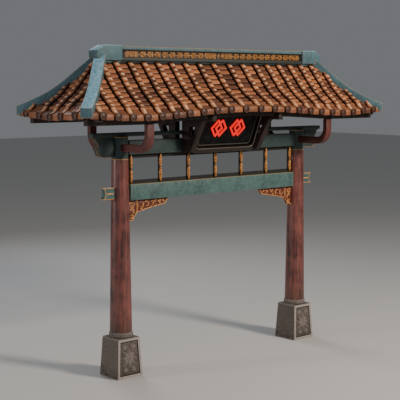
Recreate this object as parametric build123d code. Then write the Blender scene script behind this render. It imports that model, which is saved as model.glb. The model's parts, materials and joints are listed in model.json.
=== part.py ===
from build123d import *
import math
import os

# A street gateway of timber and stone: two round posts on tapered stone pedestals, two beams with a row
# of turned spindles between them, curved hook brackets, and a hipped roof of clay tiles whose eave rises
# in the middle over a tilted sign. Millimetres, +Z up, the front faces -Y, and the origin is on the
# ground midway between the posts.

# Posts and pedestals
POST_SPACING = 3750.0
PEDESTAL_HEIGHT = 600.0
PEDESTAL_FOOT_WIDTH = 470.0
PEDESTAL_TOP_WIDTH = 404.0
PEDESTAL_EDGE_RADIUS = 14.0
PANEL_MARGIN = 42.0
PANEL_DEPTH = 9.0
PANEL_BORDER = 20.0
RING_HEIGHT = 80.0
RING_RADIUS = 182.0
RING_EDGE_RADIUS = 26.0
POST_FOOT_RADIUS = 170.0
POST_TOP_RADIUS = 126.0
POST_TOP_Z = 3265.0
CAPITAL_RADIUS = 121.0
CAPITAL_HEIGHT = 340.0
CAPITAL_BAND_HEIGHT = 12.0
CAPITAL_BAND_OVERHANG = 5.0
DOWEL_RADIUS = 45.0
DOWEL_LENGTH = 60.0

# Beams between the posts
LOWER_BEAM_HEIGHT = 240.0
LOWER_BEAM_DEPTH = 162.0
LOWER_TENON_HEIGHT = 175.0
LOWER_TENON_DEPTH = 75.0
LOWER_TENON_REACH = 333.0
TENON_NOTCH = 34.0
TENON_CHEEK = 12.0
UPPER_BEAM_LIFT = 69.0
UPPER_BEAM_HEIGHT = 209.0
UPPER_BEAM_DEPTH = 154.0
UPPER_TENON_HEIGHT = 120.0
UPPER_TENON_DEPTH = 60.0
UPPER_TENON_LENGTH = 70.0
SHOULDER_GAP = 2.0

# Lattice between the beams
LATTICE_HEIGHT = 444.0
SPINDLE_COUNT = 7
END_SPINDLE_ROOM = 186.0
SPINDLE_RADIUS = 24.0
SPINDLE_FORWARD = 28.0
LATTICE_GAP = 4.0
LATTICE_DEPTH = 28.0
TOP_RAIL_HEIGHT = 60.0
BOTTOM_RAIL_HEIGHT = 55.0
STILE_WIDTH = 22.0
RAIL_END_GAP = 6.0

# Plate on the capitals and the scalloped wing panels under its ends
PLATE_OVERHANG = 528.0
PLATE_DEPTH = 120.0
PLATE_HEIGHT = 57.0
WING_THICKNESS = 65.0
WING_LIFT = 40.0
WING_END_SETBACK = 17.0
WING_TONGUE_LAP = 8.0
WING_TONGUE_SHOULDER = 20.0
WING_TONGUE_THICKNESS = 24.0
WING_TONGUE_LENGTH = 22.0

# Carved corner brackets under the lower beam
CORNER_THICKNESS = 50.0
CORNER_LEG = 310.0
CORNER_ARM = 765.0
CORNER_BAR_WIDTH = 20.0
CORNER_BAR_PLACE = 155.0
CORNER_TOE = 60.0
CARVING_HEIGHT = 6.0

# Hook brackets at the posts
HOOK_THICKNESS = 120.0
HOOK_ARM_HEIGHT = 110.0
HOOK_ARM_LIFT = 123.0
HOOK_FORWARD = 20.0
HOOK_UPRIGHT_DEPTH = 78.0
HOOK_OUTER_RADIUS = 245.0

# Eave purlins
PURLIN_DROP = 80.0
PURLIN_DEPTH = 90.0
PURLIN_SETBACK = 191.0
PURLIN_END_SETBACK = 120.0
PURLIN_RISE = 90.0
SIDE_PURLIN_SETBACK = 244.0
SIDE_PURLIN_WIDTH = 100.0
SIDE_PURLIN_END_SETBACK = 33.0
SIDE_PURLIN_LIFT = 54.0

# Roof form
EAVE_OVERHANG = 1200.0
EAVE_HALF_DEPTH = 871.0
DECK_LIFT = 281.0
EAVE_SLOPE = 0.78
RIDGE_SLOPE = 1.19
BEND_RUN = 400.0
BEND_SOFTNESS = 100.0
MIDDLE_RISE = 95.0
MIDDLE_OVERHANG = 125.0
CORNER_RISE = 60.0
DECK_THICKNESS = 25.0
DECK_BENDS = (0.0, 0.14, 0.31, 0.46, 0.60, 0.76, 1.0)

# Tile rows
ROW_PITCH = 257.0
ROW_SPREAD = 127.0
ROW_SPREAD_REACH = 1.75
ROW_END_ROOM = 150.0
ROW_SHIFT = 30.0
SIDE_ROW_SHARES = (0.3157, 0.7176)
PAN_HEIGHT = 34.0
DRIP_LIP = 14.0
DRIP_DEPTH = 26.0
BARREL_WIDTH = 100.0
BARREL_TOP_WIDTH = 52.0
GROOVE_WIDTH = 26.0
BARREL_RISE = 36.0
BARREL_SHOULDER = 14.0
BARREL_DISC_RADIUS = 58.0
BARREL_OVERHANG = 14.0
TILE_END_PLACE = 97.0

# Hip ridges, main ridge and its end caps
HIP_WIDTH = 165.0
HIP_ABOVE_DECK = 110.0
HIP_BELOW_DECK = 27.0
HIP_RAFTER_HEIGHT = 120.0
HIP_RAFTER_LEDGE = 30.0
HIP_RAFTER_TAIL = 150.0
HIP_BENDS = 8
RIDGE_CAP_SETBACK = 309.0
RIDGE_LIFT = 37.5
RIDGE_HEIGHT = 211.0
RIDGE_BASE_HALF_DEPTH = 68.0
RIDGE_BAND_HALF_DEPTH = 62.0
RIDGE_TOP_HALF_DEPTH = 85.0
RIDGE_TOP_MOULDING = 57.0
RIDGE_LOWER_HALF_DEPTH = 95.0
RIDGE_LOWER_MOULDING = 42.0
ORNAMENT_THICKNESS = 8.0
ORNAMENT_MARGIN = 9.0
ORNAMENT_BAR = 13.0
CROSSES_EACH_SIDE = 9
CAP_HALF_DEPTH = 110.0
CAP_LIFT = 12.0
CAP_LENGTH = 452.0
CAP_TOP_CHAMFER = (150.0, 80.0)
CAP_BOTTOM_CHAMFER = (62.0, 46.0)
RIDGE_BEAM_HEIGHT = 170.0
RIDGE_BEAM_HALF_DEPTH = 110.0
CROSS_TIE_LIFT = 44.0
CROSS_TIE_HEIGHT = 100.0
CROSS_TIE_WIDTH = 110.0
KING_POST_WIDTH = 100.0

# Sign
SIGN_WIDTH = 1309.0
SIGN_TOP_LIFT = 164.0
SIGN_DEPTH = 90.0
SIGN_TILT = 22.1
SIGN_FORWARD = 210.0
SIGN_DROP = 25.0
SIGN_FRAME_SIDE = 50.0
SIGN_FRAME_WIDTH = 76.0
SIGN_CORNER_RADIUS = 90.0
SIGN_OPENING_RADIUS = 75.0
SIGN_RECESS = 53.0
BEZEL_SIDE_GAP = 46.0
BEZEL_GAP = 33.0
BEZEL_WIDTH = 18.0
BEZEL_HEIGHT = 14.0
BEZEL_RADIUS = 60.0
SCREEN_THICKNESS = 8.0
TUBE_RADIUS = 12.5
TUBE_STANDOFF = 0.3
KNOT_SPACING = 394.0
LOZENGE_HALF_WIDTH = 104.0
LOZENGE_HALF_HEIGHT = 132.0
LOZENGE_SHIFT = 43.0

# Arms at both ends of the sign, and the same pair behind
SIGN_ARM_THICKNESS = 90.0
SIGN_ARM_GAP = 0.3
SIGN_ARM_NOSE = 65.0
SIGN_ARM_LEAN = 1.41
SIGN_ARM_FORWARD = 65.0
SIGN_ARM_TIP_HEIGHT = 95.0
SIGN_ARM_TIP_LIFT = 16.0
SIGN_ARM_BEND = (40.0, 31.0)
SIGN_ARM_WINDOW = (0.504, 0.803)
SIGN_ARM_POST_DEPTH = 168.0
SIGN_ARM_BAR_WIDTH = 92.0

# Places worked out from the driving sizes
POST_X = POST_SPACING / 2
POST_FOOT_Z = PEDESTAL_HEIGHT + RING_HEIGHT
CAPITAL_TOP_Z = POST_TOP_Z + CAPITAL_HEIGHT
PLATE_TOP_Z = CAPITAL_TOP_Z + PLATE_HEIGHT
PLATE_HALF_LENGTH = POST_X + PLATE_OVERHANG
UPPER_BEAM_Z = POST_TOP_Z + UPPER_BEAM_LIFT
UPPER_BEAM_TOP_Z = UPPER_BEAM_Z + UPPER_BEAM_HEIGHT
LOWER_BEAM_TOP_Z = UPPER_BEAM_Z - LATTICE_HEIGHT
LOWER_BEAM_Z = LOWER_BEAM_TOP_Z - LOWER_BEAM_HEIGHT
SPINDLE_PITCH = 2 * (POST_X - END_SPINDLE_ROOM) / (SPINDLE_COUNT - 1)
WING_BOTTOM_Z = POST_TOP_Z + WING_LIFT
DECK_EAVE_Z = CAPITAL_TOP_Z + DECK_LIFT
EAVE_HALF_LENGTH = POST_X + EAVE_OVERHANG
MIDDLE_REACH = POST_X + MIDDLE_OVERHANG
CORNER_REACH = EAVE_HALF_DEPTH
ROWS_EACH_SIDE = int((EAVE_HALF_LENGTH - ROW_SPREAD - ROW_END_ROOM) / ROW_PITCH + 0.5)
PURLIN_Z = DECK_EAVE_Z - PURLIN_DROP
PURLIN_PLACE = EAVE_HALF_DEPTH - PURLIN_SETBACK
PURLIN_HALF_LENGTH = EAVE_HALF_LENGTH - PURLIN_END_SETBACK
SIDE_PURLIN_PLACE = EAVE_HALF_LENGTH - SIDE_PURLIN_SETBACK
SIDE_PURLIN_HALF_LENGTH = EAVE_HALF_DEPTH - SIDE_PURLIN_END_SETBACK
HOOK_ARM_Z = POST_TOP_Z + HOOK_ARM_LIFT
HOOK_REACH = PURLIN_PLACE + PURLIN_DEPTH / 2 + HOOK_FORWARD
SIGN_Z = UPPER_BEAM_Z - SIGN_DROP
SIGN_HEIGHT = (DECK_EAVE_Z + SIGN_TOP_LIFT - SIGN_Z) / math.cos(math.radians(SIGN_TILT))
SIGN_ARM_REACH = PURLIN_PLACE + PURLIN_DEPTH / 2 + SIGN_ARM_FORWARD
SIGN_ARM_TIP_Z = PURLIN_Z + SIGN_ARM_TIP_LIFT
CROSS_TIE_Z = PURLIN_Z + CROSS_TIE_LIFT
HIP_START_X = EAVE_HALF_LENGTH - EAVE_HALF_DEPTH
RIDGE_HALF_LENGTH = HIP_START_X - RIDGE_CAP_SETBACK
BOARD_TOP_RUN = EAVE_HALF_DEPTH - RIDGE_BASE_HALF_DEPTH
TILE_TOP_RUN = EAVE_HALF_DEPTH - TILE_END_PLACE
HIP_INSET = HIP_WIDTH / 2 * math.sqrt(2)
STATIONS = [share * BOARD_TOP_RUN for share in DECK_BENDS]

nodes = {}


def add(name, *solids):
    """Keep the solids of one named sub-part."""
    flat = []
    for item in solids:
        flat.extend(item.solids())
    nodes[name] = flat


def block(x0, x1, y0, y1, z0, z1):
    """A box between two corners."""
    middle = Pos((x0 + x1) / 2, (y0 + y1) / 2, (z0 + z1) / 2)
    return middle * Box(abs(x1 - x0), abs(y1 - y0), abs(z1 - z0))


def panel_xz(points, y0, y1):
    """A flat piece drawn in X and Z, with its thickness along Y."""
    face = Face(Wire.make_polygon([Vector(x, y0, z) for x, z in points]))
    return Solid.extrude(face, Vector(0, y1 - y0, 0))


def panel_yz(points, x0, x1):
    """A flat piece drawn in Y and Z, with its thickness along X."""
    face = Face(Wire.make_polygon([Vector(x0, y, z) for y, z in points]))
    return Solid.extrude(face, Vector(x1 - x0, 0, 0))


def mirrored(shape, plane):
    """The same piece on the other side of a plane through the origin."""
    return shape.mirror(plane)


def post_radius(z):
    """Radius of the tapered post at a height."""
    share = (z - POST_FOOT_Z) / (POST_TOP_Z - POST_FOOT_Z)
    return POST_FOOT_RADIUS + (POST_TOP_RADIUS - POST_FOOT_RADIUS) * share


# Height of the deck's upper face


def slope_rise(run):
    """Rise of the concave slope at a distance in plan from the eave."""
    def bend(r):
        return ((r - BEND_RUN) + math.hypot(r - BEND_RUN, BEND_SOFTNESS)) / 2
    return EAVE_SLOPE * run + (RIDGE_SLOPE - EAVE_SLOPE) * (bend(run) - bend(0))


def eave_share(run):
    """How much of the eave's own curve is left at a distance up the slope."""
    return max(0.0, 1 - run / BEND_RUN) ** 1.15


def corner_rise(distance):
    """Upturn of the eave near a corner."""
    return CORNER_RISE * max(0.0, 1 - distance / CORNER_REACH) ** 1.6


def middle_rise(x):
    """The eave's raised middle."""
    if abs(x) >= MIDDLE_REACH:
        return 0.0
    return MIDDLE_RISE * math.cos(math.pi * x / (2 * MIDDLE_REACH)) ** 1.5


def front_curve(x):
    """Lift of the front or back eave above its lowest line."""
    return middle_rise(x) + corner_rise(EAVE_HALF_LENGTH - abs(x))


def side_curve(y):
    """Lift of the left or right eave above its lowest line."""
    return corner_rise(EAVE_HALF_DEPTH - abs(y))


def deck(curve, run):
    """Height of the deck in a row whose eave is lifted by a curve, straight between the bends."""
    heights = [DECK_EAVE_Z + slope_rise(t) + curve * eave_share(t) for t in STATIONS]
    step = 1
    while step < len(STATIONS) - 1 and run > STATIONS[step]:
        step += 1
    share = (run - STATIONS[step - 1]) / (STATIONS[step] - STATIONS[step - 1])
    return heights[step - 1] + (heights[step] - heights[step - 1]) * share


RIDGE_BASE_Z = deck(0, BOARD_TOP_RUN) + RIDGE_LIFT
RIDGE_TOP_Z = RIDGE_BASE_Z + RIDGE_HEIGHT
CAP_TOP_Z = RIDGE_TOP_Z + CAP_LIFT


def runs_between(start, end):
    """The two ends of a stretch of slope and the bends between them."""
    return [start] + [t for t in STATIONS if start < t < end] + [end]


# Pedestals, rings, posts and capitals


def pedestal():
    """Tapered stone block with a framed panel and a carved rosette on its front."""
    taper = math.degrees(math.atan((PEDESTAL_FOOT_WIDTH - PEDESTAL_TOP_WIDTH) / 2 / PEDESTAL_HEIGHT))
    body = extrude(Rectangle(PEDESTAL_FOOT_WIDTH, PEDESTAL_FOOT_WIDTH), PEDESTAL_HEIGHT, taper=taper)
    rounded = body.edges().filter_by(lambda e: abs(e.center().Z) > PEDESTAL_EDGE_RADIUS)
    body = fillet(rounded, PEDESTAL_EDGE_RADIUS)
    face_plane = Plane(
        origin=(0, -(PEDESTAL_FOOT_WIDTH + PEDESTAL_TOP_WIDTH) / 4, PEDESTAL_HEIGHT / 2),
        x_dir=(1, 0, 0),
        z_dir=(0, -math.cos(math.radians(taper)), math.sin(math.radians(taper))),
    )
    half_foot = PEDESTAL_FOOT_WIDTH / 2 - PANEL_MARGIN
    half_top = PEDESTAL_TOP_WIDTH / 2 - PANEL_MARGIN
    half_height = PEDESTAL_HEIGHT / 2 - PANEL_MARGIN
    outline = Polygon(
        (-half_foot, -half_height), (half_foot, -half_height),
        (half_top, half_height), (-half_top, half_height), align=None,
    )
    field = offset(outline, -PANEL_BORDER)
    body -= extrude(face_plane * (outline - field), -PANEL_DEPTH)
    body -= extrude(face_plane * field, -PANEL_DEPTH / 2)
    petal_place = half_top * 0.46
    rosette = Circle(petal_place * 0.42)
    for count in range(8):
        rosette += Rot(0, 0, 45 * count) * Pos(petal_place, 0) * Ellipse(petal_place * 0.40, petal_place * 0.24)
    for side in (-1, 1):
        for end in (-1, 1):
            place = Pos(side * petal_place * 1.05, end * half_height * 0.66)
            rosette += place * (Circle(petal_place * 0.40) - Circle(petal_place * 0.22))
    relief = extrude(face_plane * rosette, -PANEL_DEPTH)
    shell = extrude(face_plane * field, -PANEL_DEPTH / 2)
    return body.solids()[0], relief & shell


def post():
    """Tapered round post with a through mortise for the lower beam and a dowel on top."""
    shaft = Pos(0, 0, (POST_FOOT_Z + POST_TOP_Z) / 2) * Cone(
        POST_FOOT_RADIUS, POST_TOP_RADIUS, POST_TOP_Z - POST_FOOT_Z)
    middle = LOWER_BEAM_Z + LOWER_BEAM_HEIGHT / 2
    shaft -= Pos(0, 0, middle) * Box(2.2 * POST_FOOT_RADIUS, LOWER_TENON_DEPTH, LOWER_TENON_HEIGHT)
    dowel = Pos(0, 0, POST_TOP_Z + DOWEL_LENGTH / 2) * Cylinder(DOWEL_RADIUS, DOWEL_LENGTH)
    return shaft + dowel


def capital():
    """Painted head of the post, with a thin raised band at its foot and its top."""
    height = CAPITAL_TOP_Z - POST_TOP_Z
    body = Pos(0, 0, POST_TOP_Z + height / 2) * Cylinder(CAPITAL_RADIUS, height)
    for z in (POST_TOP_Z + CAPITAL_BAND_HEIGHT / 2, CAPITAL_TOP_Z - CAPITAL_BAND_HEIGHT / 2):
        body += Pos(0, 0, z) * Cylinder(CAPITAL_RADIUS + CAPITAL_BAND_OVERHANG, CAPITAL_BAND_HEIGHT)
    body -= Pos(0, 0, POST_TOP_Z + DOWEL_LENGTH / 2) * Cylinder(DOWEL_RADIUS, DOWEL_LENGTH)
    return body


def upper_tenon(x_start, x_end):
    """Tenon of the upper beam inside a capital."""
    middle = UPPER_BEAM_Z + UPPER_BEAM_HEIGHT / 2
    return block(x_start, x_end, -UPPER_TENON_DEPTH / 2, UPPER_TENON_DEPTH / 2,
                 middle - UPPER_TENON_HEIGHT / 2, middle + UPPER_TENON_HEIGHT / 2)


UPPER_SHOULDER_X = POST_X - CAPITAL_RADIUS - SHOULDER_GAP
UPPER_TENON_X = UPPER_SHOULDER_X + UPPER_TENON_LENGTH + SHOULDER_GAP
LOWER_SHOULDER_X = POST_X - post_radius(LOWER_BEAM_Z) - SHOULDER_GAP

capital_solid = Pos(POST_X, 0, 0) * capital() - upper_tenon(UPPER_SHOULDER_X, UPPER_TENON_X)
post_solid = Pos(POST_X, 0, 0) * post()
pedestal_body, pedestal_relief = pedestal()
pedestal_solid = Pos(POST_X, 0, 0) * (pedestal_body + pedestal_relief)
ring_solid = Pos(POST_X, 0, PEDESTAL_HEIGHT + RING_HEIGHT / 2) * Cylinder(RING_RADIUS, RING_HEIGHT)
ring_solid = fillet(ring_solid.edges(), RING_EDGE_RADIUS)

add("pedestal_left", Pos(-POST_SPACING, 0, 0) * pedestal_solid)
add("pedestal_right", pedestal_solid)
add("ring_left", Pos(-POST_SPACING, 0, 0) * ring_solid)
add("ring_right", ring_solid)
add("post_left", mirrored(post_solid, Plane.YZ))
add("post_right", post_solid)
add("capital_left", mirrored(capital_solid, Plane.YZ))
add("capital_right", capital_solid)


# Beams, lattice and spindles


def lower_beam():
    """Beam whose thinner tenons pass through both posts and end in a notched tail."""
    body = block(-LOWER_SHOULDER_X, LOWER_SHOULDER_X, -LOWER_BEAM_DEPTH / 2, LOWER_BEAM_DEPTH / 2,
                 LOWER_BEAM_Z, LOWER_BEAM_TOP_Z)
    end = POST_X + LOWER_TENON_REACH
    middle = LOWER_BEAM_Z + LOWER_BEAM_HEIGHT / 2
    low = middle - LOWER_TENON_HEIGHT / 2
    high = middle + LOWER_TENON_HEIGHT / 2
    bar = block(-end, end, -LOWER_TENON_DEPTH / 2, LOWER_TENON_DEPTH / 2, low, high)
    for side in (-1, 1):
        shoulder = LOWER_TENON_HEIGHT / 4
        notch = [(side * (end + 1), low + TENON_CHEEK), (side * (end - TENON_NOTCH * 0.7), low + shoulder),
                 (side * (end - TENON_NOTCH), middle), (side * (end - TENON_NOTCH * 0.7), high - shoulder),
                 (side * (end + 1), high - TENON_CHEEK)]
        bar -= panel_xz(notch, -LOWER_TENON_DEPTH, LOWER_TENON_DEPTH)
    return body + bar


def spindle():
    """Turned spindle of two long bulbs with a ring at the waist."""
    height = UPPER_BEAM_Z - LOWER_BEAM_TOP_Z
    shape = [(0.38, 0.0), (0.38, 0.03), (0.62, 0.07), (0.96, 0.24), (1.0, 0.36), (0.66, 0.46),
             (0.40, 0.485), (0.60, 0.50), (0.60, 0.52), (0.40, 0.535), (0.66, 0.56), (0.92, 0.68),
             (0.84, 0.82), (0.50, 0.94), (0.36, 1.0)]
    outline = [(0, 0)] + [(SPINDLE_RADIUS * r, height * z) for r, z in shape] + [(0, height)]
    face = Face(Wire.make_polygon([Vector(r, 0, z) for r, z in outline]))
    return Pos(0, -SPINDLE_FORWARD, LOWER_BEAM_TOP_Z) * revolve(face, Axis.Z)


add("lower_beam", lower_beam())
add("upper_beam",
    block(-UPPER_SHOULDER_X, UPPER_SHOULDER_X, -UPPER_BEAM_DEPTH / 2, UPPER_BEAM_DEPTH / 2,
          UPPER_BEAM_Z, UPPER_BEAM_TOP_Z)
    + upper_tenon(-UPPER_TENON_X, UPPER_TENON_X))

LATTICE_FRONT = -SPINDLE_FORWARD + SPINDLE_RADIUS + LATTICE_GAP
LATTICE_BACK = LATTICE_FRONT + LATTICE_DEPTH
RAIL_X = POST_X - post_radius(LOWER_BEAM_Z) - RAIL_END_GAP
top_rail = block(-RAIL_X, RAIL_X, LATTICE_FRONT, LATTICE_BACK,
                 UPPER_BEAM_Z - TOP_RAIL_HEIGHT, UPPER_BEAM_Z)
bottom_rail = block(-RAIL_X, RAIL_X, LATTICE_FRONT, LATTICE_BACK,
                    LOWER_BEAM_TOP_Z, LOWER_BEAM_TOP_Z + BOTTOM_RAIL_HEIGHT)
add("lattice_rails", top_rail, bottom_rail)
spindle_places = [SPINDLE_PITCH * (k - (SPINDLE_COUNT - 1) / 2) for k in range(SPINDLE_COUNT)]
add("lattice_stiles", *[
    block(x - STILE_WIDTH / 2, x + STILE_WIDTH / 2, LATTICE_FRONT, LATTICE_BACK,
          LOWER_BEAM_TOP_Z + BOTTOM_RAIL_HEIGHT, UPPER_BEAM_Z - TOP_RAIL_HEIGHT)
    for x in spindle_places])
one_spindle = spindle()
add("spindles", *[Pos(x, 0, 0) * one_spindle for x in spindle_places])


# Plate, wing panels and corner brackets

add("tie_plate", block(-PLATE_HALF_LENGTH, PLATE_HALF_LENGTH, -PLATE_DEPTH / 2, PLATE_DEPTH / 2,
                       CAPITAL_TOP_Z, PLATE_TOP_Z))


def wing_panel():
    """Panel beside the right capital, with a scalloped outer edge and a thin tongue at the capital."""
    inner = POST_X + CAPITAL_RADIUS + CAPITAL_BAND_OVERHANG + WING_TONGUE_LENGTH - WING_TONGUE_LAP
    outer = PLATE_HALF_LENGTH - WING_END_SETBACK
    top = CAPITAL_TOP_Z
    scallops = [(1.0, 0.0), (0.54, 0.0), (0.445, 0.013), (0.345, 0.06), (0.248, 0.133), (0.194, 0.207),
                (0.205, 0.293), (0.156, 0.373), (0.119, 0.48), (0.178, 0.533), (0.237, 0.553),
                (0.237, 0.613), (0.189, 0.713), (0.135, 0.833), (0.119, 0.937), (0.0, 0.937), (0.0, 1.0),
                (1.0, 1.0)]
    outline = [(outer - (outer - inner) * u, WING_BOTTOM_Z + (top - WING_BOTTOM_Z) * v) for u, v in scallops]
    panel = panel_xz(outline, -WING_THICKNESS / 2, WING_THICKNESS / 2)
    tongue = block(POST_X, inner, -WING_TONGUE_THICKNESS / 2, WING_TONGUE_THICKNESS / 2,
                   WING_BOTTOM_Z + WING_TONGUE_SHOULDER, top - WING_TONGUE_SHOULDER)
    tongue -= Pos(POST_X, 0, (POST_TOP_Z + top) / 2) * Cylinder(CAPITAL_RADIUS, top - POST_TOP_Z)
    return panel + tongue


def corner_bracket():
    """Carved bracket in the corner under the beam at the right post."""
    wall = POST_X - post_radius(LOWER_BEAM_Z)
    foot = LOWER_BEAM_Z - CORNER_LEG
    scallops = [(0.102, 0.013), (0.125, 0.097), (0.136, 0.2), (0.165, 0.271), (0.196, 0.381), (0.23, 0.426),
                (0.268, 0.413), (0.327, 0.471), (0.392, 0.484), (0.451, 0.535), (0.516, 0.542),
                (0.575, 0.594), (0.641, 0.594), (0.699, 0.645), (0.765, 0.645), (0.824, 0.69),
                (0.889, 0.69), (0.922, 0.748), (1.0, 1.0)]
    outline = [(wall + CORNER_TOE, LOWER_BEAM_Z), (wall + CORNER_TOE, foot)]
    outline += [(wall - CORNER_ARM * u, foot + CORNER_LEG * v) for u, v in scallops]
    plate = panel_xz(outline, -CORNER_THICKNESS / 2, CORNER_THICKNESS / 2)
    bar_x = wall - CORNER_BAR_PLACE
    bar = block(bar_x - CORNER_BAR_WIDTH / 2, bar_x + CORNER_BAR_WIDTH / 2,
                -CORNER_THICKNESS / 2 - CARVING_HEIGHT, CORNER_THICKNESS / 2 + CARVING_HEIGHT,
                foot + CORNER_LEG / 2, LOWER_BEAM_Z)
    bosses = [(0.063, 0.61, 0.107), (0.30, 0.23, 0.096), (0.431, 0.22, 0.09), (0.562, 0.21, 0.085),
              (0.693, 0.2, 0.079), (0.824, 0.19, 0.073)]
    for along, down, size in bosses:
        centre = Pos(wall - CORNER_ARM * along, 0, LOWER_BEAM_Z - CORNER_LEG * down)
        plate += centre * Rot(90, 0, 0) * Cylinder(CORNER_LEG * size, CORNER_THICKNESS + 2 * CARVING_HEIGHT)
    plate += bar
    plate -= post_solid
    return plate.solids().sort_by(SortBy.VOLUME)[-1]


wing_right = wing_panel()
add("wing_panel_left", mirrored(wing_right, Plane.YZ))
add("wing_panel_right", wing_right)
corner_right = corner_bracket()
add("corner_bracket_left", mirrored(corner_right, Plane.YZ))
add("corner_bracket_right", corner_right)


# Hook brackets


def hook():
    """Hook bracket from the front of the right capital up to the eave purlin."""
    arm_low = HOOK_ARM_Z
    arm_high = HOOK_ARM_Z + HOOK_ARM_HEIGHT
    front = -HOOK_REACH
    back = front + HOOK_UPRIGHT_DEPTH
    inner_radius = HOOK_OUTER_RADIUS - (HOOK_ARM_HEIGHT + HOOK_UPRIGHT_DEPTH) / 2
    bend_y = front + HOOK_OUTER_RADIUS
    bend_z = arm_low + HOOK_OUTER_RADIUS
    inner_y = back + inner_radius
    inner_z = arm_high + inner_radius
    turn = math.sqrt(0.5)
    x0 = POST_X - HOOK_THICKNESS / 2
    points = {
        "root_low": (0, arm_low), "outer_start": (bend_y, arm_low),
        "outer_middle": (bend_y - HOOK_OUTER_RADIUS * turn, bend_z - HOOK_OUTER_RADIUS * turn),
        "outer_end": (front, bend_z), "tip_front": (front, PURLIN_Z), "tip_back": (back, PURLIN_Z),
        "inner_end": (back, inner_z),
        "inner_middle": (inner_y - inner_radius * turn, inner_z - inner_radius * turn),
        "inner_start": (inner_y, arm_high), "root_high": (0, arm_high),
    }
    at = {name: Vector(x0, y, z) for name, (y, z) in points.items()}
    wire = Wire([
        Edge.make_line(at["root_low"], at["outer_start"]),
        Edge.make_three_point_arc(at["outer_start"], at["outer_middle"], at["outer_end"]),
        Edge.make_line(at["outer_end"], at["tip_front"]),
        Edge.make_line(at["tip_front"], at["tip_back"]),
        Edge.make_line(at["tip_back"], at["inner_end"]),
        Edge.make_three_point_arc(at["inner_end"], at["inner_middle"], at["inner_start"]),
        Edge.make_line(at["inner_start"], at["root_high"]),
        Edge.make_line(at["root_high"], at["root_low"]),
    ])
    solid = Solid.extrude(Face(wire), Vector(HOOK_THICKNESS, 0, 0))
    middle = (POST_TOP_Z + CAPITAL_TOP_Z) / 2
    return solid - Pos(POST_X, 0, middle) * Cylinder(CAPITAL_RADIUS, CAPITAL_TOP_Z - POST_TOP_Z)


hook_front_right = hook()
hook_back_right = mirrored(hook_front_right, Plane.XZ)
add("hook_front_right", hook_front_right)
add("hook_back_right", hook_back_right)
add("hook_front_left", mirrored(hook_front_right, Plane.YZ))
add("hook_back_left", mirrored(hook_back_right, Plane.YZ))


# Rows of boards and tiles


def row_places():
    """Centre lines of the cover tile rows on the front slope, a little wider apart in the middle."""
    places = []
    for count in range(ROWS_EACH_SIDE):
        row = count + 0.5
        places.append(ROW_PITCH * row + ROW_SPREAD * (1 - math.exp(-row / ROW_SPREAD_REACH)))
    return [x + ROW_SHIFT for x in [-x for x in reversed(places)] + places]


def side_row_places():
    """Centre lines of the cover tile rows on a side slope."""
    near, outer = [EAVE_HALF_DEPTH * share for share in SIDE_ROW_SHARES]
    return [y + ROW_SHIFT for y in (-outer, -near, 0, near, outer)]


def slope_point(facing, along, run, z):
    """A point given by its place along the eave, its distance in from the eave and its height."""
    if facing == "front":
        return Vector(along, run - EAVE_HALF_DEPTH, z)
    return Vector(EAVE_HALF_LENGTH - run, along, z)


def slope_bar(facing, outline, start, end):
    """A strip up the slope with one outline of distance and height along its whole width."""
    face = Face(Wire.make_polygon([slope_point(facing, start, run, z) for run, z in outline]))
    way = slope_point(facing, end, 0, 0) - slope_point(facing, start, 0, 0)
    return Solid.extrude(face, way)


def swept_section(facing, centre, section, line):
    """A strip whose section is carried along a bent line up the slope."""
    rings = [[slope_point(facing, centre + u, run, z + h) for u, h in section] for run, z in line]
    faces = [Face(Wire.make_polygon(rings[0])), Face(Wire.make_polygon(rings[-1]))]
    count = len(section)
    for lower, upper in zip(rings, rings[1:]):
        for k in range(count):
            after = (k + 1) % count
            faces.append(Face(Wire.make_polygon([lower[k], lower[after], upper[after], upper[k]])))
    return Solid(Shell(faces))


def slope_field(facing, inset):
    """Upright prism over the part of a slope that lies between its two hips."""
    half = EAVE_HALF_LENGTH if facing == "front" else EAVE_HALF_DEPTH
    top = min(half, EAVE_HALF_DEPTH) - (0 if facing == "front" else inset)
    low = [(-half + inset - ROW_PITCH, -ROW_PITCH), (half - inset + ROW_PITCH, -ROW_PITCH)]
    high = [(half - inset - top, top), (-half + inset + top, top)]
    if facing != "front":
        high = [(0, top)]
    wire = Wire.make_polygon([slope_point(facing, u, t, 0) for u, t in low + high])
    return Solid.extrude(Face(wire), Vector(0, 0, 2 * DECK_EAVE_Z))


def trimmed(facing, solid, reach):
    """Cut a strip at the hips where it runs past them."""
    half = EAVE_HALF_LENGTH if facing == "front" else EAVE_HALF_DEPTH
    if facing == "front" and reach < half - EAVE_HALF_DEPTH - HIP_INSET:
        return [solid]
    cut = solid & slope_field(facing, HIP_INSET)
    return [piece for piece in cut.solids() if piece.volume > 1000]


def slope_curve(facing, along):
    """Lift of the eave at a place along it."""
    return front_curve(along) if facing == "front" else side_curve(along)


def slope_strips(facing):
    """Edges of the boards of one slope: the cover rows' centre lines and the two outer ends."""
    if facing == "front":
        return [-EAVE_HALF_LENGTH] + row_places() + [EAVE_HALF_LENGTH]
    return [-EAVE_HALF_DEPTH] + side_row_places() + [EAVE_HALF_DEPTH]


def board_middle(facing, start, end):
    """Where along the eave a board takes its height."""
    half = EAVE_HALF_LENGTH if facing == "front" else EAVE_HALF_DEPTH
    low = max(start, -half + HIP_INSET)
    high = min(end, half - HIP_INSET)
    return (low + high) / 2


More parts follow.
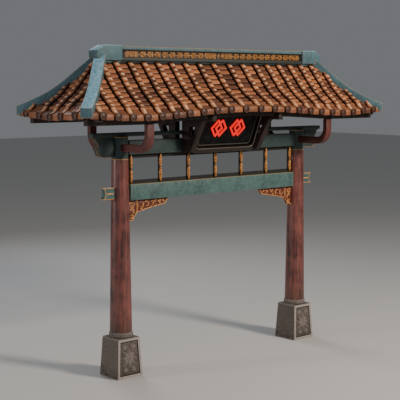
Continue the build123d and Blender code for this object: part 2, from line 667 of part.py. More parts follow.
def boards(facing, room=0.0):
    """Deck boards of one slope, side by side, or the room above them that their supports keep clear."""
    solids = []
    edges = slope_strips(facing)
    for start, end in zip(edges, edges[1:]):
        curve = slope_curve(facing, board_middle(facing, start, end))
        line = [(t, deck(curve, t)) for t in runs_between(DRIP_DEPTH, BOARD_TOP_RUN)]
        under = [(t, z - DECK_THICKNESS) for t, z in reversed(line)]
        over = [(t, z + room) for t, z in line]
        bar = slope_bar(facing, over + under, start, end)
        solids.extend(trimmed(facing, bar, max(abs(start), abs(end))))
    return solids


def pans(facing):
    """Rows of pan tiles of one slope, each ending in a drip in front of the board."""
    solids = []
    edges = slope_strips(facing)
    half = BARREL_WIDTH / 2
    for count, (start, end) in enumerate(zip(edges, edges[1:])):
        curve = slope_curve(facing, board_middle(facing, start, end))
        line = [(t, deck(curve, t)) for t in runs_between(DRIP_DEPTH, TILE_TOP_RUN)]
        top = [(t, z + PAN_HEIGHT) for t, z in reversed(line)]
        eave = deck(curve, DRIP_DEPTH)
        drip = [(DRIP_DEPTH, eave + PAN_HEIGHT + DRIP_LIP), (0, eave + PAN_HEIGHT + DRIP_LIP / 2),
                (0, eave - DECK_THICKNESS), (DRIP_DEPTH, eave - DECK_THICKNESS)]
        left = start if count == 0 else start + half
        right = end if count == len(edges) - 2 else end - half - GROOVE_WIDTH
        bar = slope_bar(facing, line + top + drip, left, right)
        solids.extend(trimmed(facing, bar, max(abs(start), abs(end))))
    return solids


def covers(facing):
    """Rows of cover tiles of one slope, each over a joint of the boards and ending in a disc."""
    solids = []
    edges = slope_strips(facing)
    half = BARREL_WIDTH / 2
    crown = PAN_HEIGHT + BARREL_RISE
    section = [(-half, 0), (-half, PAN_HEIGHT + BARREL_SHOULDER), (-BARREL_TOP_WIDTH / 2, crown),
               (BARREL_TOP_WIDTH / 2, crown), (half, PAN_HEIGHT + BARREL_SHOULDER), (half, 0)]
    for before, centre, after in zip(edges, edges[1:], edges[2:]):
        curve = max(slope_curve(facing, board_middle(facing, before, centre)),
                    slope_curve(facing, board_middle(facing, centre, after)))
        line = [(t, deck(curve, t)) for t in runs_between(0, TILE_TOP_RUN)]
        bar = swept_section(facing, centre, section, line)
        radius = BARREL_DISC_RADIUS
        middle = deck(curve, 0) + crown - radius * 0.8
        disc = []
        for corner in range(8):
            angle = math.radians(45 * corner + 22.5)
            disc.append(slope_point(facing, centre + radius * math.cos(angle), 0,
                                    middle + radius * math.sin(angle)))
        out = slope_point(facing, 0, -BARREL_OVERHANG, 0) - slope_point(facing, 0, 0, 0)
        bar = bar + Solid.extrude(Face(Wire.make_polygon(disc)), out)
        for solid in bar.solids():
            solids.extend(trimmed(facing, solid, abs(centre) + radius))
    return solids


front_boards = boards("front")
side_boards = boards("side")
front_pans = pans("front")
side_pans = pans("side")
front_covers = covers("front")
side_covers = covers("side")
add("roof_boards_front", *front_boards)
add("roof_boards_back", *[mirrored(solid, Plane.XZ) for solid in front_boards])
add("roof_boards_sides", *side_boards, *[mirrored(solid, Plane.YZ) for solid in side_boards])
add("pan_tiles_front", *front_pans)
add("pan_tiles_back", *[mirrored(solid, Plane.XZ) for solid in front_pans])
add("pan_tiles_sides", *side_pans, *[mirrored(solid, Plane.YZ) for solid in side_pans])
add("cover_tiles_front", *front_covers)
add("cover_tiles_back", *[mirrored(solid, Plane.XZ) for solid in front_covers])
add("cover_tiles_sides", *side_covers, *[mirrored(solid, Plane.YZ) for solid in side_covers])


# Purlins, ties, king posts and ridge beam


def purlin_bottom(x):
    """Underside of the eave purlin, which follows the raised middle of the eave."""
    if abs(x) >= POST_X:
        return PURLIN_Z
    return PURLIN_Z + PURLIN_RISE * (1 - (abs(x) / POST_X) ** 1.4)


def purlin(x_start, x_end, steps):
    """One length of the front eave purlin, cambered below and bedded under each board."""
    run = EAVE_HALF_DEPTH - PURLIN_PLACE - PURLIN_DEPTH / 2
    bed = None
    edges = slope_strips("front")
    for start, end in zip(edges, edges[1:]):
        low = max(start, x_start)
        high = min(end, x_end)
        if high - low < 1:
            continue
        curve = slope_curve("front", board_middle("front", start, end))
        line = runs_between(run, run + PURLIN_DEPTH)
        top = [(t, deck(curve, t) - DECK_THICKNESS) for t in line]
        outline = top + [(run + PURLIN_DEPTH, PURLIN_Z), (run, PURLIN_Z)]
        piece = slope_bar("front", outline, low, high)
        bed = piece if bed is None else bed + piece
    xs = [x_start + (x_end - x_start) * k / steps for k in range(steps + 1)]
    below = [(x, purlin_bottom(x)) for x in xs]
    outline = below + [(x_end, RIDGE_TOP_Z), (x_start, RIDGE_TOP_Z)]
    return bed & panel_xz(outline, -EAVE_HALF_DEPTH, 0)


def side_purlin():
    """Purlin under the right eave, notched over the front and back purlins."""
    low = PURLIN_Z + SIDE_PURLIN_LIFT
    run = EAVE_HALF_LENGTH - SIDE_PURLIN_PLACE - SIDE_PURLIN_WIDTH / 2
    bed = None
    edges = slope_strips("side")
    for start, end in zip(edges, edges[1:]):
        first = max(start, -SIDE_PURLIN_HALF_LENGTH)
        last = min(end, SIDE_PURLIN_HALF_LENGTH)
        curve = slope_curve("side", board_middle("side", start, end))
        line = runs_between(run, run + SIDE_PURLIN_WIDTH)
        top = [(t, deck(curve, t) - DECK_THICKNESS) for t in line]
        outline = top + [(run + SIDE_PURLIN_WIDTH, low), (run, low)]
        piece = slope_bar("side", outline, first, last)
        bed = piece if bed is None else bed + piece
    return bed


def hip_line(run):
    """Height of the deck on the line of a hip, straight between its bends."""
    step = EAVE_HALF_DEPTH / HIP_BENDS
    before = min(int(run / step), HIP_BENDS - 1)
    heights = []
    for bend in (before * step, (before + 1) * step):
        heights.append(DECK_EAVE_Z + slope_rise(bend) + corner_rise(bend) * eave_share(bend))
    return heights[0] + (heights[1] - heights[0]) * (run / step - before)


def hip_bar(start, above, below, width):
    """A bar of one width that follows the front right hip up to the ridge."""
    bends = [EAVE_HALF_DEPTH * (k + 1) / HIP_BENDS for k in range(HIP_BENDS)]
    runs = [start] + [t for t in bends if t > start]
    side = Vector(1, -1, 0).normalized()
    across = Vector(1, 1, 0).normalized() * width
    points = [(t, hip_line(t) + above) for t in runs] + [(t, hip_line(t) - below) for t in reversed(runs)]
    corner = Vector(EAVE_HALF_LENGTH, -EAVE_HALF_DEPTH, 0) - across / 2
    path = [corner - side * (t * math.sqrt(2)) + Vector(0, 0, z) for t, z in points]
    solid = Solid.extrude(Face(Wire.make_polygon(path)), across)
    return solid & block(0, 2 * EAVE_HALF_LENGTH, -2 * EAVE_HALF_DEPTH, 0, 0, 2 * RIDGE_TOP_Z)


def at_corner(shape, x_side, y_side):
    """A piece of the front right corner, turned over to another corner."""
    if x_side < 0:
        shape = mirrored(shape, Plane.YZ)
    if y_side > 0:
        shape = mirrored(shape, Plane.XZ)
    return shape


def largest(shape):
    """The largest solid that a cut leaves."""
    return shape.solids().sort_by(SortBy.VOLUME)[-1]


def without(shape, others):
    """A piece with the room for its neighbours cut out."""
    for other in others:
        shape = shape - other
    return largest(shape)


CORNERS = {"front_right": (1, -1), "front_left": (-1, -1), "back_right": (1, 1), "back_left": (-1, 1)}
hip_blank = hip_bar(0, HIP_ABOVE_DECK, HIP_BELOW_DECK, HIP_WIDTH)
front_room = boards("front", RIDGE_BEAM_HEIGHT)
side_room = boards("side", RIDGE_BEAM_HEIGHT)
purlin_lengths = {1: purlin(POST_X, PURLIN_HALF_LENGTH, 1), -1: purlin(-PURLIN_HALF_LENGTH, -POST_X, 1)}
purlin_middle = purlin(-POST_X, POST_X, 16)

hip_blanks = {}
board_room = {}
purlin_ends = {}
for corner, (x_side, y_side) in CORNERS.items():
    hip_blanks[corner] = at_corner(hip_blank, x_side, y_side)
    near_hip = [solid for solid in front_room
                if max(x_side * solid.bounding_box().min.X, x_side * solid.bounding_box().max.X)
                > HIP_START_X - HIP_INSET]
    over_side = [at_corner(solid, x_side, -1) for solid in side_room]
    board_room[corner] = [at_corner(solid, 1, y_side) for solid in near_hip] + over_side
    blank = at_corner(purlin_lengths[x_side], 1, y_side)
    purlin_ends[corner] = without(blank, [hip_blanks[corner]] + over_side)
    add(f"purlin_{corner}", purlin_ends[corner])
add("purlin_front_middle", purlin_middle)
add("purlin_back_middle", mirrored(purlin_middle, Plane.XZ))

side_purlins = {}
for side, x_side in (("right", 1), ("left", -1)):
    near = [corner for corner in CORNERS if corner.endswith(side)]
    neighbours = [hip_blanks[corner] for corner in near] + [purlin_ends[corner] for corner in near]
    for corner in near:
        neighbours += board_room[corner][:-len(side_room)]
    side_purlins[side] = without(at_corner(side_purlin(), x_side, -1), neighbours)
    add(f"side_purlin_{side}", side_purlins[side])

RIDGE_BEAM_TOP_Z = deck(0, BOARD_TOP_RUN) - DECK_THICKNESS
RIDGE_BEAM_BOTTOM_Z = RIDGE_BEAM_TOP_Z - RIDGE_BEAM_HEIGHT
bevel_z = deck(0, EAVE_HALF_DEPTH - RIDGE_BEAM_HALF_DEPTH) - DECK_THICKNESS
ridge_beam = panel_yz(
    [(-RIDGE_BEAM_HALF_DEPTH, RIDGE_BEAM_BOTTOM_Z), (RIDGE_BEAM_HALF_DEPTH, RIDGE_BEAM_BOTTOM_Z),
     (RIDGE_BEAM_HALF_DEPTH, bevel_z), (RIDGE_BASE_HALF_DEPTH, RIDGE_BEAM_TOP_Z),
     (-RIDGE_BASE_HALF_DEPTH, RIDGE_BEAM_TOP_Z), (-RIDGE_BEAM_HALF_DEPTH, bevel_z)],
    -HIP_START_X, HIP_START_X)
add("ridge_beam", ridge_beam)

TIE_END = PURLIN_PLACE - PURLIN_DEPTH / 2
tie = block(-CROSS_TIE_WIDTH / 2, CROSS_TIE_WIDTH / 2, -TIE_END, TIE_END,
            CROSS_TIE_Z, CROSS_TIE_Z + CROSS_TIE_HEIGHT)
king = block(-KING_POST_WIDTH / 2, KING_POST_WIDTH / 2, -KING_POST_WIDTH / 2, KING_POST_WIDTH / 2,
             CROSS_TIE_Z + CROSS_TIE_HEIGHT, RIDGE_BEAM_BOTTOM_Z)
add("cross_ties", Pos(-POST_X, 0, 0) * tie, Pos(POST_X, 0, 0) * tie)
add("king_posts", Pos(-POST_X, 0, 0) * king, Pos(POST_X, 0, 0) * king)


# Ridge, its end caps, hip ridges and hip rafters


def ridge_cap():
    """Block at the right end of the ridge, with its outer corners cut off."""
    start = RIDGE_HALF_LENGTH
    end = start + CAP_LENGTH
    top_cut, top_drop = CAP_TOP_CHAMFER
    low_cut, low_rise = CAP_BOTTOM_CHAMFER
    outline = [(start, RIDGE_BASE_Z), (end - low_cut, RIDGE_BASE_Z), (end, RIDGE_BASE_Z + low_rise),
               (end, CAP_TOP_Z - top_drop), (end - top_cut, CAP_TOP_Z), (start, CAP_TOP_Z)]
    head = panel_xz(outline, -CAP_HALF_DEPTH, CAP_HALF_DEPTH)
    base = block(start, HIP_START_X, -RIDGE_BASE_HALF_DEPTH, RIDGE_BASE_HALF_DEPTH,
                 RIDGE_BEAM_TOP_Z, RIDGE_BASE_Z)
    return head + base


cap_right = ridge_cap()
caps = {1: cap_right, -1: mirrored(cap_right, Plane.YZ)}
rafter_blank = hip_bar(HIP_RAFTER_TAIL, -HIP_BELOW_DECK, HIP_BELOW_DECK + HIP_RAFTER_HEIGHT,
                       HIP_WIDTH + 2 * HIP_RAFTER_LEDGE)
rafters = []
for corner, (x_side, y_side) in CORNERS.items():
    side = "right" if x_side > 0 else "left"
    add(f"hip_ridge_{corner}", without(hip_blanks[corner], [caps[x_side]]))
    supports = [ridge_beam, caps[x_side], side_purlins[side], purlin_ends[corner]]
    rafters.append(without(at_corner(rafter_blank, x_side, y_side), supports + board_room[corner]))

ridge_section = [
    (RIDGE_BASE_HALF_DEPTH, RIDGE_BEAM_TOP_Z), (RIDGE_BASE_HALF_DEPTH, RIDGE_BASE_Z),
    (RIDGE_LOWER_HALF_DEPTH, RIDGE_BASE_Z), (RIDGE_LOWER_HALF_DEPTH, RIDGE_BASE_Z + RIDGE_LOWER_MOULDING),
    (RIDGE_BAND_HALF_DEPTH, RIDGE_BASE_Z + RIDGE_LOWER_MOULDING),
    (RIDGE_BAND_HALF_DEPTH, RIDGE_TOP_Z - RIDGE_TOP_MOULDING),
    (RIDGE_TOP_HALF_DEPTH, RIDGE_TOP_Z - RIDGE_TOP_MOULDING), (RIDGE_TOP_HALF_DEPTH, RIDGE_TOP_Z),
]
mirror_section = [(-y, z) for y, z in reversed(ridge_section)]
add("ridge_body", panel_yz(ridge_section + mirror_section, -RIDGE_HALF_LENGTH, RIDGE_HALF_LENGTH))
add("ridge_cap_right", caps[1])
add("ridge_cap_left", caps[-1])
add("hip_rafters", *rafters)


def ridge_ornaments():
    """Raised squares and crosses along both faces of the ridge."""
    low = RIDGE_BASE_Z + RIDGE_LOWER_MOULDING
    high = RIDGE_TOP_Z - RIDGE_TOP_MOULDING
    size = high - low - 2 * ORNAMENT_MARGIN
    plane = Plane(origin=(0, -RIDGE_BAND_HALF_DEPTH, (low + high) / 2), x_dir=(1, 0, 0), z_dir=(0, -1, 0))
    hole = size - 2 * ORNAMENT_BAR
    square = Rectangle(size, size) - Rectangle(hole, hole)
    square += Rot(0, 0, 45) * Rectangle(hole / 2, hole / 2)
    for turn in (0, 90):
        square += Rot(0, 0, turn) * Rectangle(size, ORNAMENT_BAR / 2)
    bar = Rectangle(size * 1.18, ORNAMENT_BAR)
    cross = (Rot(0, 0, 45) * bar) + (Rot(0, 0, -45) * bar)
    end_place = RIDGE_HALF_LENGTH - size - 2 * ORNAMENT_MARGIN
    inner_place = end_place * 0.135
    places = [(square, 0.0), (square, end_place), (square, inner_place)]
    step = (end_place - inner_place) / (CROSSES_EACH_SIDE + 1)
    for count in range(CROSSES_EACH_SIDE):
        places.append((cross, inner_place + step * (count + 1)))
    solids = []
    for sketch, place in places:
        for x in {place, -place}:
            solid = extrude(plane * (Pos(x, 0) * sketch), ORNAMENT_THICKNESS)
            solids.append(solid)
            solids.append(mirrored(solid, Plane.XZ))
    return solids


add("ridge_ornament", *ridge_ornaments())


# Sign and its arms

SIGN_PLANE = Plane(
    origin=(0, -SIGN_FORWARD, SIGN_Z),
    x_dir=(1, 0, 0),
    z_dir=(0, -math.cos(math.radians(SIGN_TILT)), -math.sin(math.radians(SIGN_TILT))),
)


def sign_sheet(side, end, radius, z_low, z_high):
    """A rounded plate of the sign between two depths, set in from its sides and its ends."""
    sketch = RectangleRounded(SIGN_WIDTH - 2 * side, SIGN_HEIGHT - 2 * end, radius)
    return extrude(Pos(0, SIGN_HEIGHT / 2, z_low) * sketch, z_high - z_low)


def knot_tubes():
    """Two knots of bent tube side by side, each of two lozenges that overlap."""
    outline = None
    for place in (-KNOT_SPACING / 2, KNOT_SPACING / 2):
        for shift in (-LOZENGE_SHIFT, LOZENGE_SHIFT):
            x = place + shift
            y = SIGN_HEIGHT / 2
            corners = [(x - LOZENGE_HALF_WIDTH, y), (x, y + LOZENGE_HALF_HEIGHT),
                       (x + LOZENGE_HALF_WIDTH, y), (x, y - LOZENGE_HALF_HEIGHT)]
            for start, end in zip(corners, corners[1:] + corners[:1]):
                length = math.hypot(end[0] - start[0], end[1] - start[1])
                angle = math.degrees(math.atan2(end[1] - start[1], end[0] - start[0]))
                middle = Pos((start[0] + end[0]) / 2, (start[1] + end[1]) / 2)
                piece = middle * Rot(0, 0, angle) * SlotCenterToCenter(length, 2 * TUBE_RADIUS)
                outline = piece if outline is None else outline + piece
    return extrude(Pos(0, 0, -SIGN_RECESS + TUBE_STANDOFF) * outline, 2 * TUBE_RADIUS)


screen_low = -SIGN_RECESS - SCREEN_THICKNESS
housing = sign_sheet(0, 0, SIGN_CORNER_RADIUS, -SIGN_DEPTH, screen_low)
opening = (SIGN_FRAME_SIDE, SIGN_FRAME_WIDTH, SIGN_OPENING_RADIUS)
frame_ring = sign_sheet(0, 0, SIGN_CORNER_RADIUS, screen_low, 0) - sign_sheet(*opening, screen_low, 1)
screen = sign_sheet(*opening, screen_low, -SIGN_RECESS)
bezel_side = SIGN_FRAME_SIDE + BEZEL_SIDE_GAP
bezel_end = SIGN_FRAME_WIDTH + BEZEL_GAP
bezel_top = -SIGN_RECESS + BEZEL_HEIGHT
bezel = sign_sheet(bezel_side, bezel_end, BEZEL_RADIUS, -SIGN_RECESS, bezel_top)
bezel -= sign_sheet(bezel_side + BEZEL_WIDTH, bezel_end + BEZEL_WIDTH, BEZEL_RADIUS - BEZEL_WIDTH,
                    -SIGN_RECESS, bezel_top)
add("sign_housing", SIGN_PLANE * housing)
add("sign_frame", SIGN_PLANE * frame_ring)
add("sign_bezel", SIGN_PLANE * bezel)
add("sign_screen", SIGN_PLANE * screen)
add("sign_tubes", SIGN_PLANE * knot_tubes())


def sign_arm():
    """Arm in front of the upper beam at the right end of the sign, housed round the purlin."""
    back = -UPPER_BEAM_DEPTH / 2
    lean = math.tan(math.radians(SIGN_TILT)) * SIGN_ARM_LEAN
    foot = -SIGN_FORWARD - SIGN_ARM_NOSE
    bend_z = SIGN_ARM_TIP_Z - SIGN_ARM_BEND[1]
    bend_y = foot - lean * (bend_z - UPPER_BEAM_Z)
    outline = [(back, UPPER_BEAM_Z), (foot, UPPER_BEAM_Z), (bend_y, bend_z),
               (bend_y - SIGN_ARM_BEND[0], SIGN_ARM_TIP_Z), (-SIGN_ARM_REACH, SIGN_ARM_TIP_Z),
               (-SIGN_ARM_REACH, SIGN_ARM_TIP_Z + SIGN_ARM_TIP_HEIGHT),
               (back, SIGN_ARM_TIP_Z + SIGN_ARM_TIP_HEIGHT)]
    inner = back - SIGN_ARM_POST_DEPTH
    rise = SIGN_ARM_TIP_Z - UPPER_BEAM_Z
    window_low, window_high = [UPPER_BEAM_Z + rise * share for share in SIGN_ARM_WINDOW]
    bar = SIGN_ARM_BAR_WIDTH
    window = [(inner, window_low), (foot + bar - lean * (window_low - UPPER_BEAM_Z), window_low),
              (foot + bar - lean * (window_high - UPPER_BEAM_Z), window_high), (inner, window_high)]
    x_inner = SIGN_WIDTH / 2 + SIGN_ARM_GAP
    x_outer = x_inner + SIGN_ARM_THICKNESS
    arm = panel_yz(outline, x_inner, x_outer) - panel_yz(window, x_inner, x_outer)
    return arm - purlin_middle


arm_right = sign_arm()
arm_back = mirrored(arm_right, Plane.XZ)
add("sign_arm_right", arm_right)
add("sign_arm_left", mirrored(arm_right, Plane.YZ))
add("back_arm_right", arm_back)
add("back_arm_left", mirrored(arm_back, Plane.YZ))


os.makedirs("parts", exist_ok=True)
for node, solids in nodes.items():
    shape = solids[0] if len(solids) == 1 else Compound(children=solids)
    export_step(shape, f"parts/{node}.step")
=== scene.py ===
# %% [markdown]
# A street gateway of painted timber under a roof of clay tiles. The construction comes packed as a fixed
# frame in metres. This lesson dresses it: tiles laid course by course, turned spindles, carved brackets,
# a lit sign, and finishes for lacquer, paint, clay, stone and old timber.

# %% Load the frame and keep its box
import json
import math
import random

import bmesh
import bpy
from mathutils import Matrix, Vector


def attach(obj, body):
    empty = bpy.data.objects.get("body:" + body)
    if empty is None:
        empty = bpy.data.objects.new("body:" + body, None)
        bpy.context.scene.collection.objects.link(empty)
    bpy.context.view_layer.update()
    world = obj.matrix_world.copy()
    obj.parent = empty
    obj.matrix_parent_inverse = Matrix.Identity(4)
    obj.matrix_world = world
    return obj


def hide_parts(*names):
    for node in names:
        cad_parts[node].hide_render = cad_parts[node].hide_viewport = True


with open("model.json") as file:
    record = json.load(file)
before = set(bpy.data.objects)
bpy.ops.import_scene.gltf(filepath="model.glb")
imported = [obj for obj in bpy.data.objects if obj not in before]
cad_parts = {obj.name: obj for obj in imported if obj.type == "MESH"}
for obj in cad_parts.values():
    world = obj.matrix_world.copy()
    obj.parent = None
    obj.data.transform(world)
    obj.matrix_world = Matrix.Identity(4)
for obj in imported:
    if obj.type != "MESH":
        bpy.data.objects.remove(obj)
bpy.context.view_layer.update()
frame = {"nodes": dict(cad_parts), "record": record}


def box_of(node):
    """The lowest and the highest corner of a node, in metres."""
    corners = frame["nodes"][node].bound_box
    return [Vector([pick(corner[k] for corner in corners) for k in range(3)]) for pick in (min, max)]


# %% [markdown]
# The camera stands at the left front, a little above head height, with a long lens. A long lens far away
# keeps the two posts nearly the same size. Its place was found from the beams, posts and pedestals.

# %% Camera
CAMERA_PLACE = Vector((-11.116, -12.448, 4.393))
CAMERA_YAW = math.radians(40.98)
CAMERA_PITCH = math.radians(6.38)
CAMERA_ROLL = math.radians(0.12)
CAMERA_LENS_MM = 94.2
SENSOR_MM = 36.0

camera_data = bpy.data.cameras.new("camera")
camera_data.lens = CAMERA_LENS_MM
camera_data.sensor_width = SENSOR_MM
camera = bpy.data.objects.new("camera", camera_data)
bpy.context.scene.collection.objects.link(camera)
turn = Matrix.Rotation(-CAMERA_YAW, 4, "Z") @ Matrix.Rotation(math.pi / 2 - CAMERA_PITCH, 4, "X")
camera.matrix_world = Matrix.Translation(CAMERA_PLACE) @ turn @ Matrix.Rotation(CAMERA_ROLL, 4, "Z")
bpy.context.scene.camera = camera
print("camera at", [round(v, 2) for v in CAMERA_PLACE], "lens", CAMERA_LENS_MM)

# %% [markdown]
# Colours in this lesson are written as hex values, as a paint chart gives them. Blender's sockets take
# linear light, so one function turns them. A second function adds every node: its settings by name, and its
# inputs as numbers or as the outputs of other nodes.

# %% Colours and nodes


def srgb(hex_colour):
    """A hex colour as the linear values that Blender's sockets take."""
    parts = [int(hex_colour[k:k + 2], 16) / 255 for k in (0, 2, 4)]
    linear = [v / 12.92 if v <= 0.04045 else ((v + 0.055) / 1.055) ** 2.4 for v in parts]
    return (*linear, 1.0)


def add_node(tree, kind, inputs=None, **settings):
    """Adds a node with its settings, and gives each input a plain value or a link from an output."""
    node = tree.nodes.new(kind)
    for name, value in settings.items():
        setattr(node, name, value)
    for name, value in (inputs or {}).items():
        if isinstance(value, bpy.types.NodeSocket):
            tree.links.new(value, node.inputs[name])
        else:
            node.inputs[name].default_value = value
    return node


print("clay orange as a socket takes it:", [round(v, 3) for v in srgb("C47B4D")])

# %% [markdown]
# The gateway stands on a plain pale floor in soft studio light. The key light comes from the right front,
# and a smaller one from the left draws a pale line down the posts. The others only lift the shadows.

# %% Floor and lights


def studio_light(name, place, size, power, colour, aim=(0, 0, 2.6)):
    """A large soft light, pointed at a place on the gateway."""
    data = bpy.data.lights.new(name, "AREA")
    data.shape = "DISK"
    data.size = size
    data.energy = power
    data.color = srgb(colour)[:3]
    light = bpy.data.objects.new(name, data)
    light.location = place
    light.rotation_euler = (Vector(aim) - Vector(place)).to_track_quat("-Z", "Y").to_euler()
    bpy.context.scene.collection.objects.link(light)


studio_light("key_light", place=(3.5, -12.0, 9.5), size=3.0, power=1900, colour="FFF2E4")
studio_light("fill_light", place=(-10.0, -6.0, 5.0), size=6.0, power=90, colour="E4EEFF")
studio_light("back_light", place=(2.0, 10.0, 9.0), size=5.0, power=420, colour="F2F6FF", aim=(0, 0, 3.5))
studio_light("rim_light", place=(-13.0, 4.4, 4.0), size=1.6, power=400, colour="FFF4EC")

world = bpy.data.worlds.new("studio")
world.use_nodes = True
world.node_tree.nodes["Background"].inputs["Color"].default_value = srgb("D9DDE2")
world.node_tree.nodes["Background"].inputs["Strength"].default_value = 0.24
bpy.context.scene.world = world

FLOOR_REACH = 60
floor_mesh = bpy.data.meshes.new("floor")
floor_corners = [(x * FLOOR_REACH, y * FLOOR_REACH, 0) for x, y in ((-1, -1), (1, -1), (1, 1), (-1, 1))]
floor_mesh.from_pydata(floor_corners, [], [(0, 1, 2, 3)])
floor = bpy.data.objects.new("floor", floor_mesh)
bpy.context.scene.collection.objects.link(floor)
floor_paint = bpy.data.materials.new("pale_floor")
floor_paint.use_nodes = True
floor_shader = floor_paint.node_tree.nodes["Principled BSDF"]
floor_shader.inputs["Base Color"].default_value = srgb("C9C8C5")
floor_shader.inputs["Roughness"].default_value = 0.85
floor.data.materials.append(floor_paint)
print("floor and", len(bpy.data.lights), "lights ready")

# %% [markdown]
# Every finish here is old paint, clay or stone, so each one mixes two or three close tones with noise at a
# real scale, then adds dirt and worn spots. Object coordinates are used, because every piece keeps its
# place in its mesh, and the patterns then run on from one piece to the next in true size. A painter works in
# coats, and so do these helpers: a coat is a colour and the masks that say where it covers.

# %% Helpers for finishes: masks and coats
NOISE_ROUGHNESS = 0.62
LINE_SOFTNESS = 0.0012


def new_finish(name):
    """An empty material with a Principled shader: the material, its tree, the shader and the coordinates."""
    material = bpy.data.materials.new(name)
    material.use_nodes = True
    tree = material.node_tree
    place = tree.nodes.new("ShaderNodeTexCoord").outputs["Object"]
    return material, tree, tree.nodes["Principled BSDF"], place


def cover(tree, *parts):
    """Where a coat covers: the product of masks, numbers and ramps. A ramp is a value, its 0 and its 1."""
    product = None
    for part in parts:
        if isinstance(part, tuple):
            value, start, end = part
            part = add_node(tree, "ShaderNodeMapRange", {"Value": value, "From Min": start, "From Max": end},
                            interpolation_type="SMOOTHSTEP").outputs["Result"]
        if product is None:
            product = part
        else:
            product = add_node(tree, "ShaderNodeMath", {0: product, 1: part}, operation="MULTIPLY").outputs[0]
    return product


def coats(tree, first, *layers):
    """Coats over a first colour. A layer is a colour and then the parts of its cover."""
    base = srgb(first)
    for colour, *parts in layers:
        base = add_node(tree, "ShaderNodeMix", {0: cover(tree, *parts), 6: base, 7: srgb(colour)},
                        data_type="RGBA").outputs[2]
    return base


def patches(tree, place, size_mm, detail=4.0, low=0.4, high=0.6, stretch=(1, 1, 1)):
    """Noise of a real size, sharpened between two levels: 0 between the patches and 1 on them."""
    spread = add_node(tree, "ShaderNodeMapping", {"Vector": place, "Scale": stretch})
    noise = add_node(tree, "ShaderNodeTexNoise",
                     {"Vector": spread.outputs["Vector"], "Scale": 1000.0 / size_mm, "Detail": detail,
                      "Roughness": NOISE_ROUGHNESS})
    return cover(tree, (noise.outputs["Fac"], low, high))


def inside(tree, value, low, high):
    """1 where a value in metres lies between two limits, with a soft edge of about a millimetre."""
    return cover(tree, (value, low - LINE_SOFTNESS, low + LINE_SOFTNESS),
                 (value, high + LINE_SOFTNESS, high - LINE_SOFTNESS))


print("masks and coats ready")

# %% [markdown]
# Where a face looks tells how light falls on it: faces that look at the sky can be painted paler, as painted
# light. Where an edge is tells the wear: hands and rain rub it first. The Bevel node bends the normal near an
# edge, so the angle between the bent normal and the true one is a mask of the edges, in millimetres, with no
# painting by hand.

# %% Helpers for finishes: faces, edges and relief


def looking_along(tree, axis, start, end):
    """A mask of the faces whose normal runs along an axis, from its 0 to its 1."""
    normal = tree.nodes.new("ShaderNodeNewGeometry").outputs["Normal"]
    along = add_node(tree, "ShaderNodeSeparateXYZ", {"Vector": normal}).outputs[axis]
    return cover(tree, (along, start, end))


def edge_wear(tree, width_mm, gain, *broken):
    """A mask of the edges over a real width, as strong as its gain, and broken up by other masks."""
    bent = add_node(tree, "ShaderNodeBevel", {"Radius": width_mm / 1000.0}, samples=4).outputs["Normal"]
    normal = tree.nodes.new("ShaderNodeNewGeometry").outputs["Normal"]
    same = add_node(tree, "ShaderNodeVectorMath", {0: bent, 1: normal}, operation="DOT_PRODUCT")
    turned = add_node(tree, "ShaderNodeMath", {0: 1.0, 1: same.outputs["Value"]}, operation="SUBTRACT",
                      use_clamp=True)
    return add_node(tree, "ShaderNodeMath", {0: cover(tree, turned.outputs[0], *broken), 1: gain},
                    operation="MULTIPLY", use_clamp=True).outputs[0]


def dress(tree, shader, colour, roughness, *heights):
    """Gives a shader its colour, its roughness, and a relief of masks, each with its height in millimetres.

    The roughness is a number, or a mask with the roughness off it and the roughness on it.
    """
    tree.links.new(colour, shader.inputs["Base Color"])
    if isinstance(roughness, tuple):
        mask, off, on = roughness
        rough = add_node(tree, "ShaderNodeMath", {0: mask, 1: on - off, 2: off}, operation="MULTIPLY_ADD")
        tree.links.new(rough.outputs[0], shader.inputs["Roughness"])
    else:
        shader.inputs["Roughness"].default_value = roughness
    height = 0.0
    for mask, height_mm in heights:
        height = add_node(tree, "ShaderNodeMath", {0: mask, 1: height_mm / 1000.0, 2: height},
                          operation="MULTIPLY_ADD").outputs[0]
    if heights:
        bump = add_node(tree, "ShaderNodeBump", {"Height": height, "Strength": 1.0, "Distance": 1.0})
        tree.links.new(bump.outputs["Normal"], shader.inputs["Normal"])


print("faces, edges and relief ready")

# %% [markdown]
# Red lacquer over turned posts: thin coats of maroon lacquer, polished by weather. Long streaks run down the
# shaft, the coat is worn to ochre near the foot and the head, soil darkens the foot, and painted shade
# darkens the head under the eave. It could be one flat glossy red, but the streaks are what makes it read as
# lacquer brushed on timber.

# %% Maroon lacquer on timber
LACQUER_DARK = "2B1310"
LACQUER_RED = "78352D"
LACQUER_PALE = "92554A"
WORN_OCHRE = "7C4E30"
SOIL_AND_SHADE_BROWN = "2C1A10"


def maroon_lacquer():
    """Streaked maroon lacquer: the gloss is uneven, so highlights break up along the shaft."""
    material, tree, shader, place = new_finish("maroon_lacquer")
    z = add_node(tree, "ShaderNodeSeparateXYZ", {"Vector": place}).outputs["Z"]
    foot, head = (z, 1.05, 0.62), (z, 2.95, 3.3)
    streaks = patches(tree, place, 38, low=0.36, high=0.66, stretch=(1, 1, 0.09))
    clouds = patches(tree, place, 260, low=0.35, high=0.68)
    drips = patches(tree, place, 30, low=0.50, high=0.60, stretch=(1, 1, 0.12))
    grime = patches(tree, place, 14, low=0.56, high=0.66)
    # The brown at the foot is soil; the same brown at the head is painted shade under the eave.
    colour = coats(tree, LACQUER_DARK, (LACQUER_RED, streaks), (LACQUER_PALE, clouds, 0.45),
                   (WORN_OCHRE, foot, drips), (WORN_OCHRE, head, drips, 0.7), (SOIL_AND_SHADE_BROWN, foot, 0.45),
                   (SOIL_AND_SHADE_BROWN, head, 0.35), ("2A1512", grime, 0.35))
    dress(tree, shader, colour, (streaks, 0.34, 0.56), (streaks, 0.4), (grime, 0.8))
    shader.inputs["Coat Weight"].default_value = 0.55
    shader.inputs["Coat Roughness"].default_value = 0.24
    return material


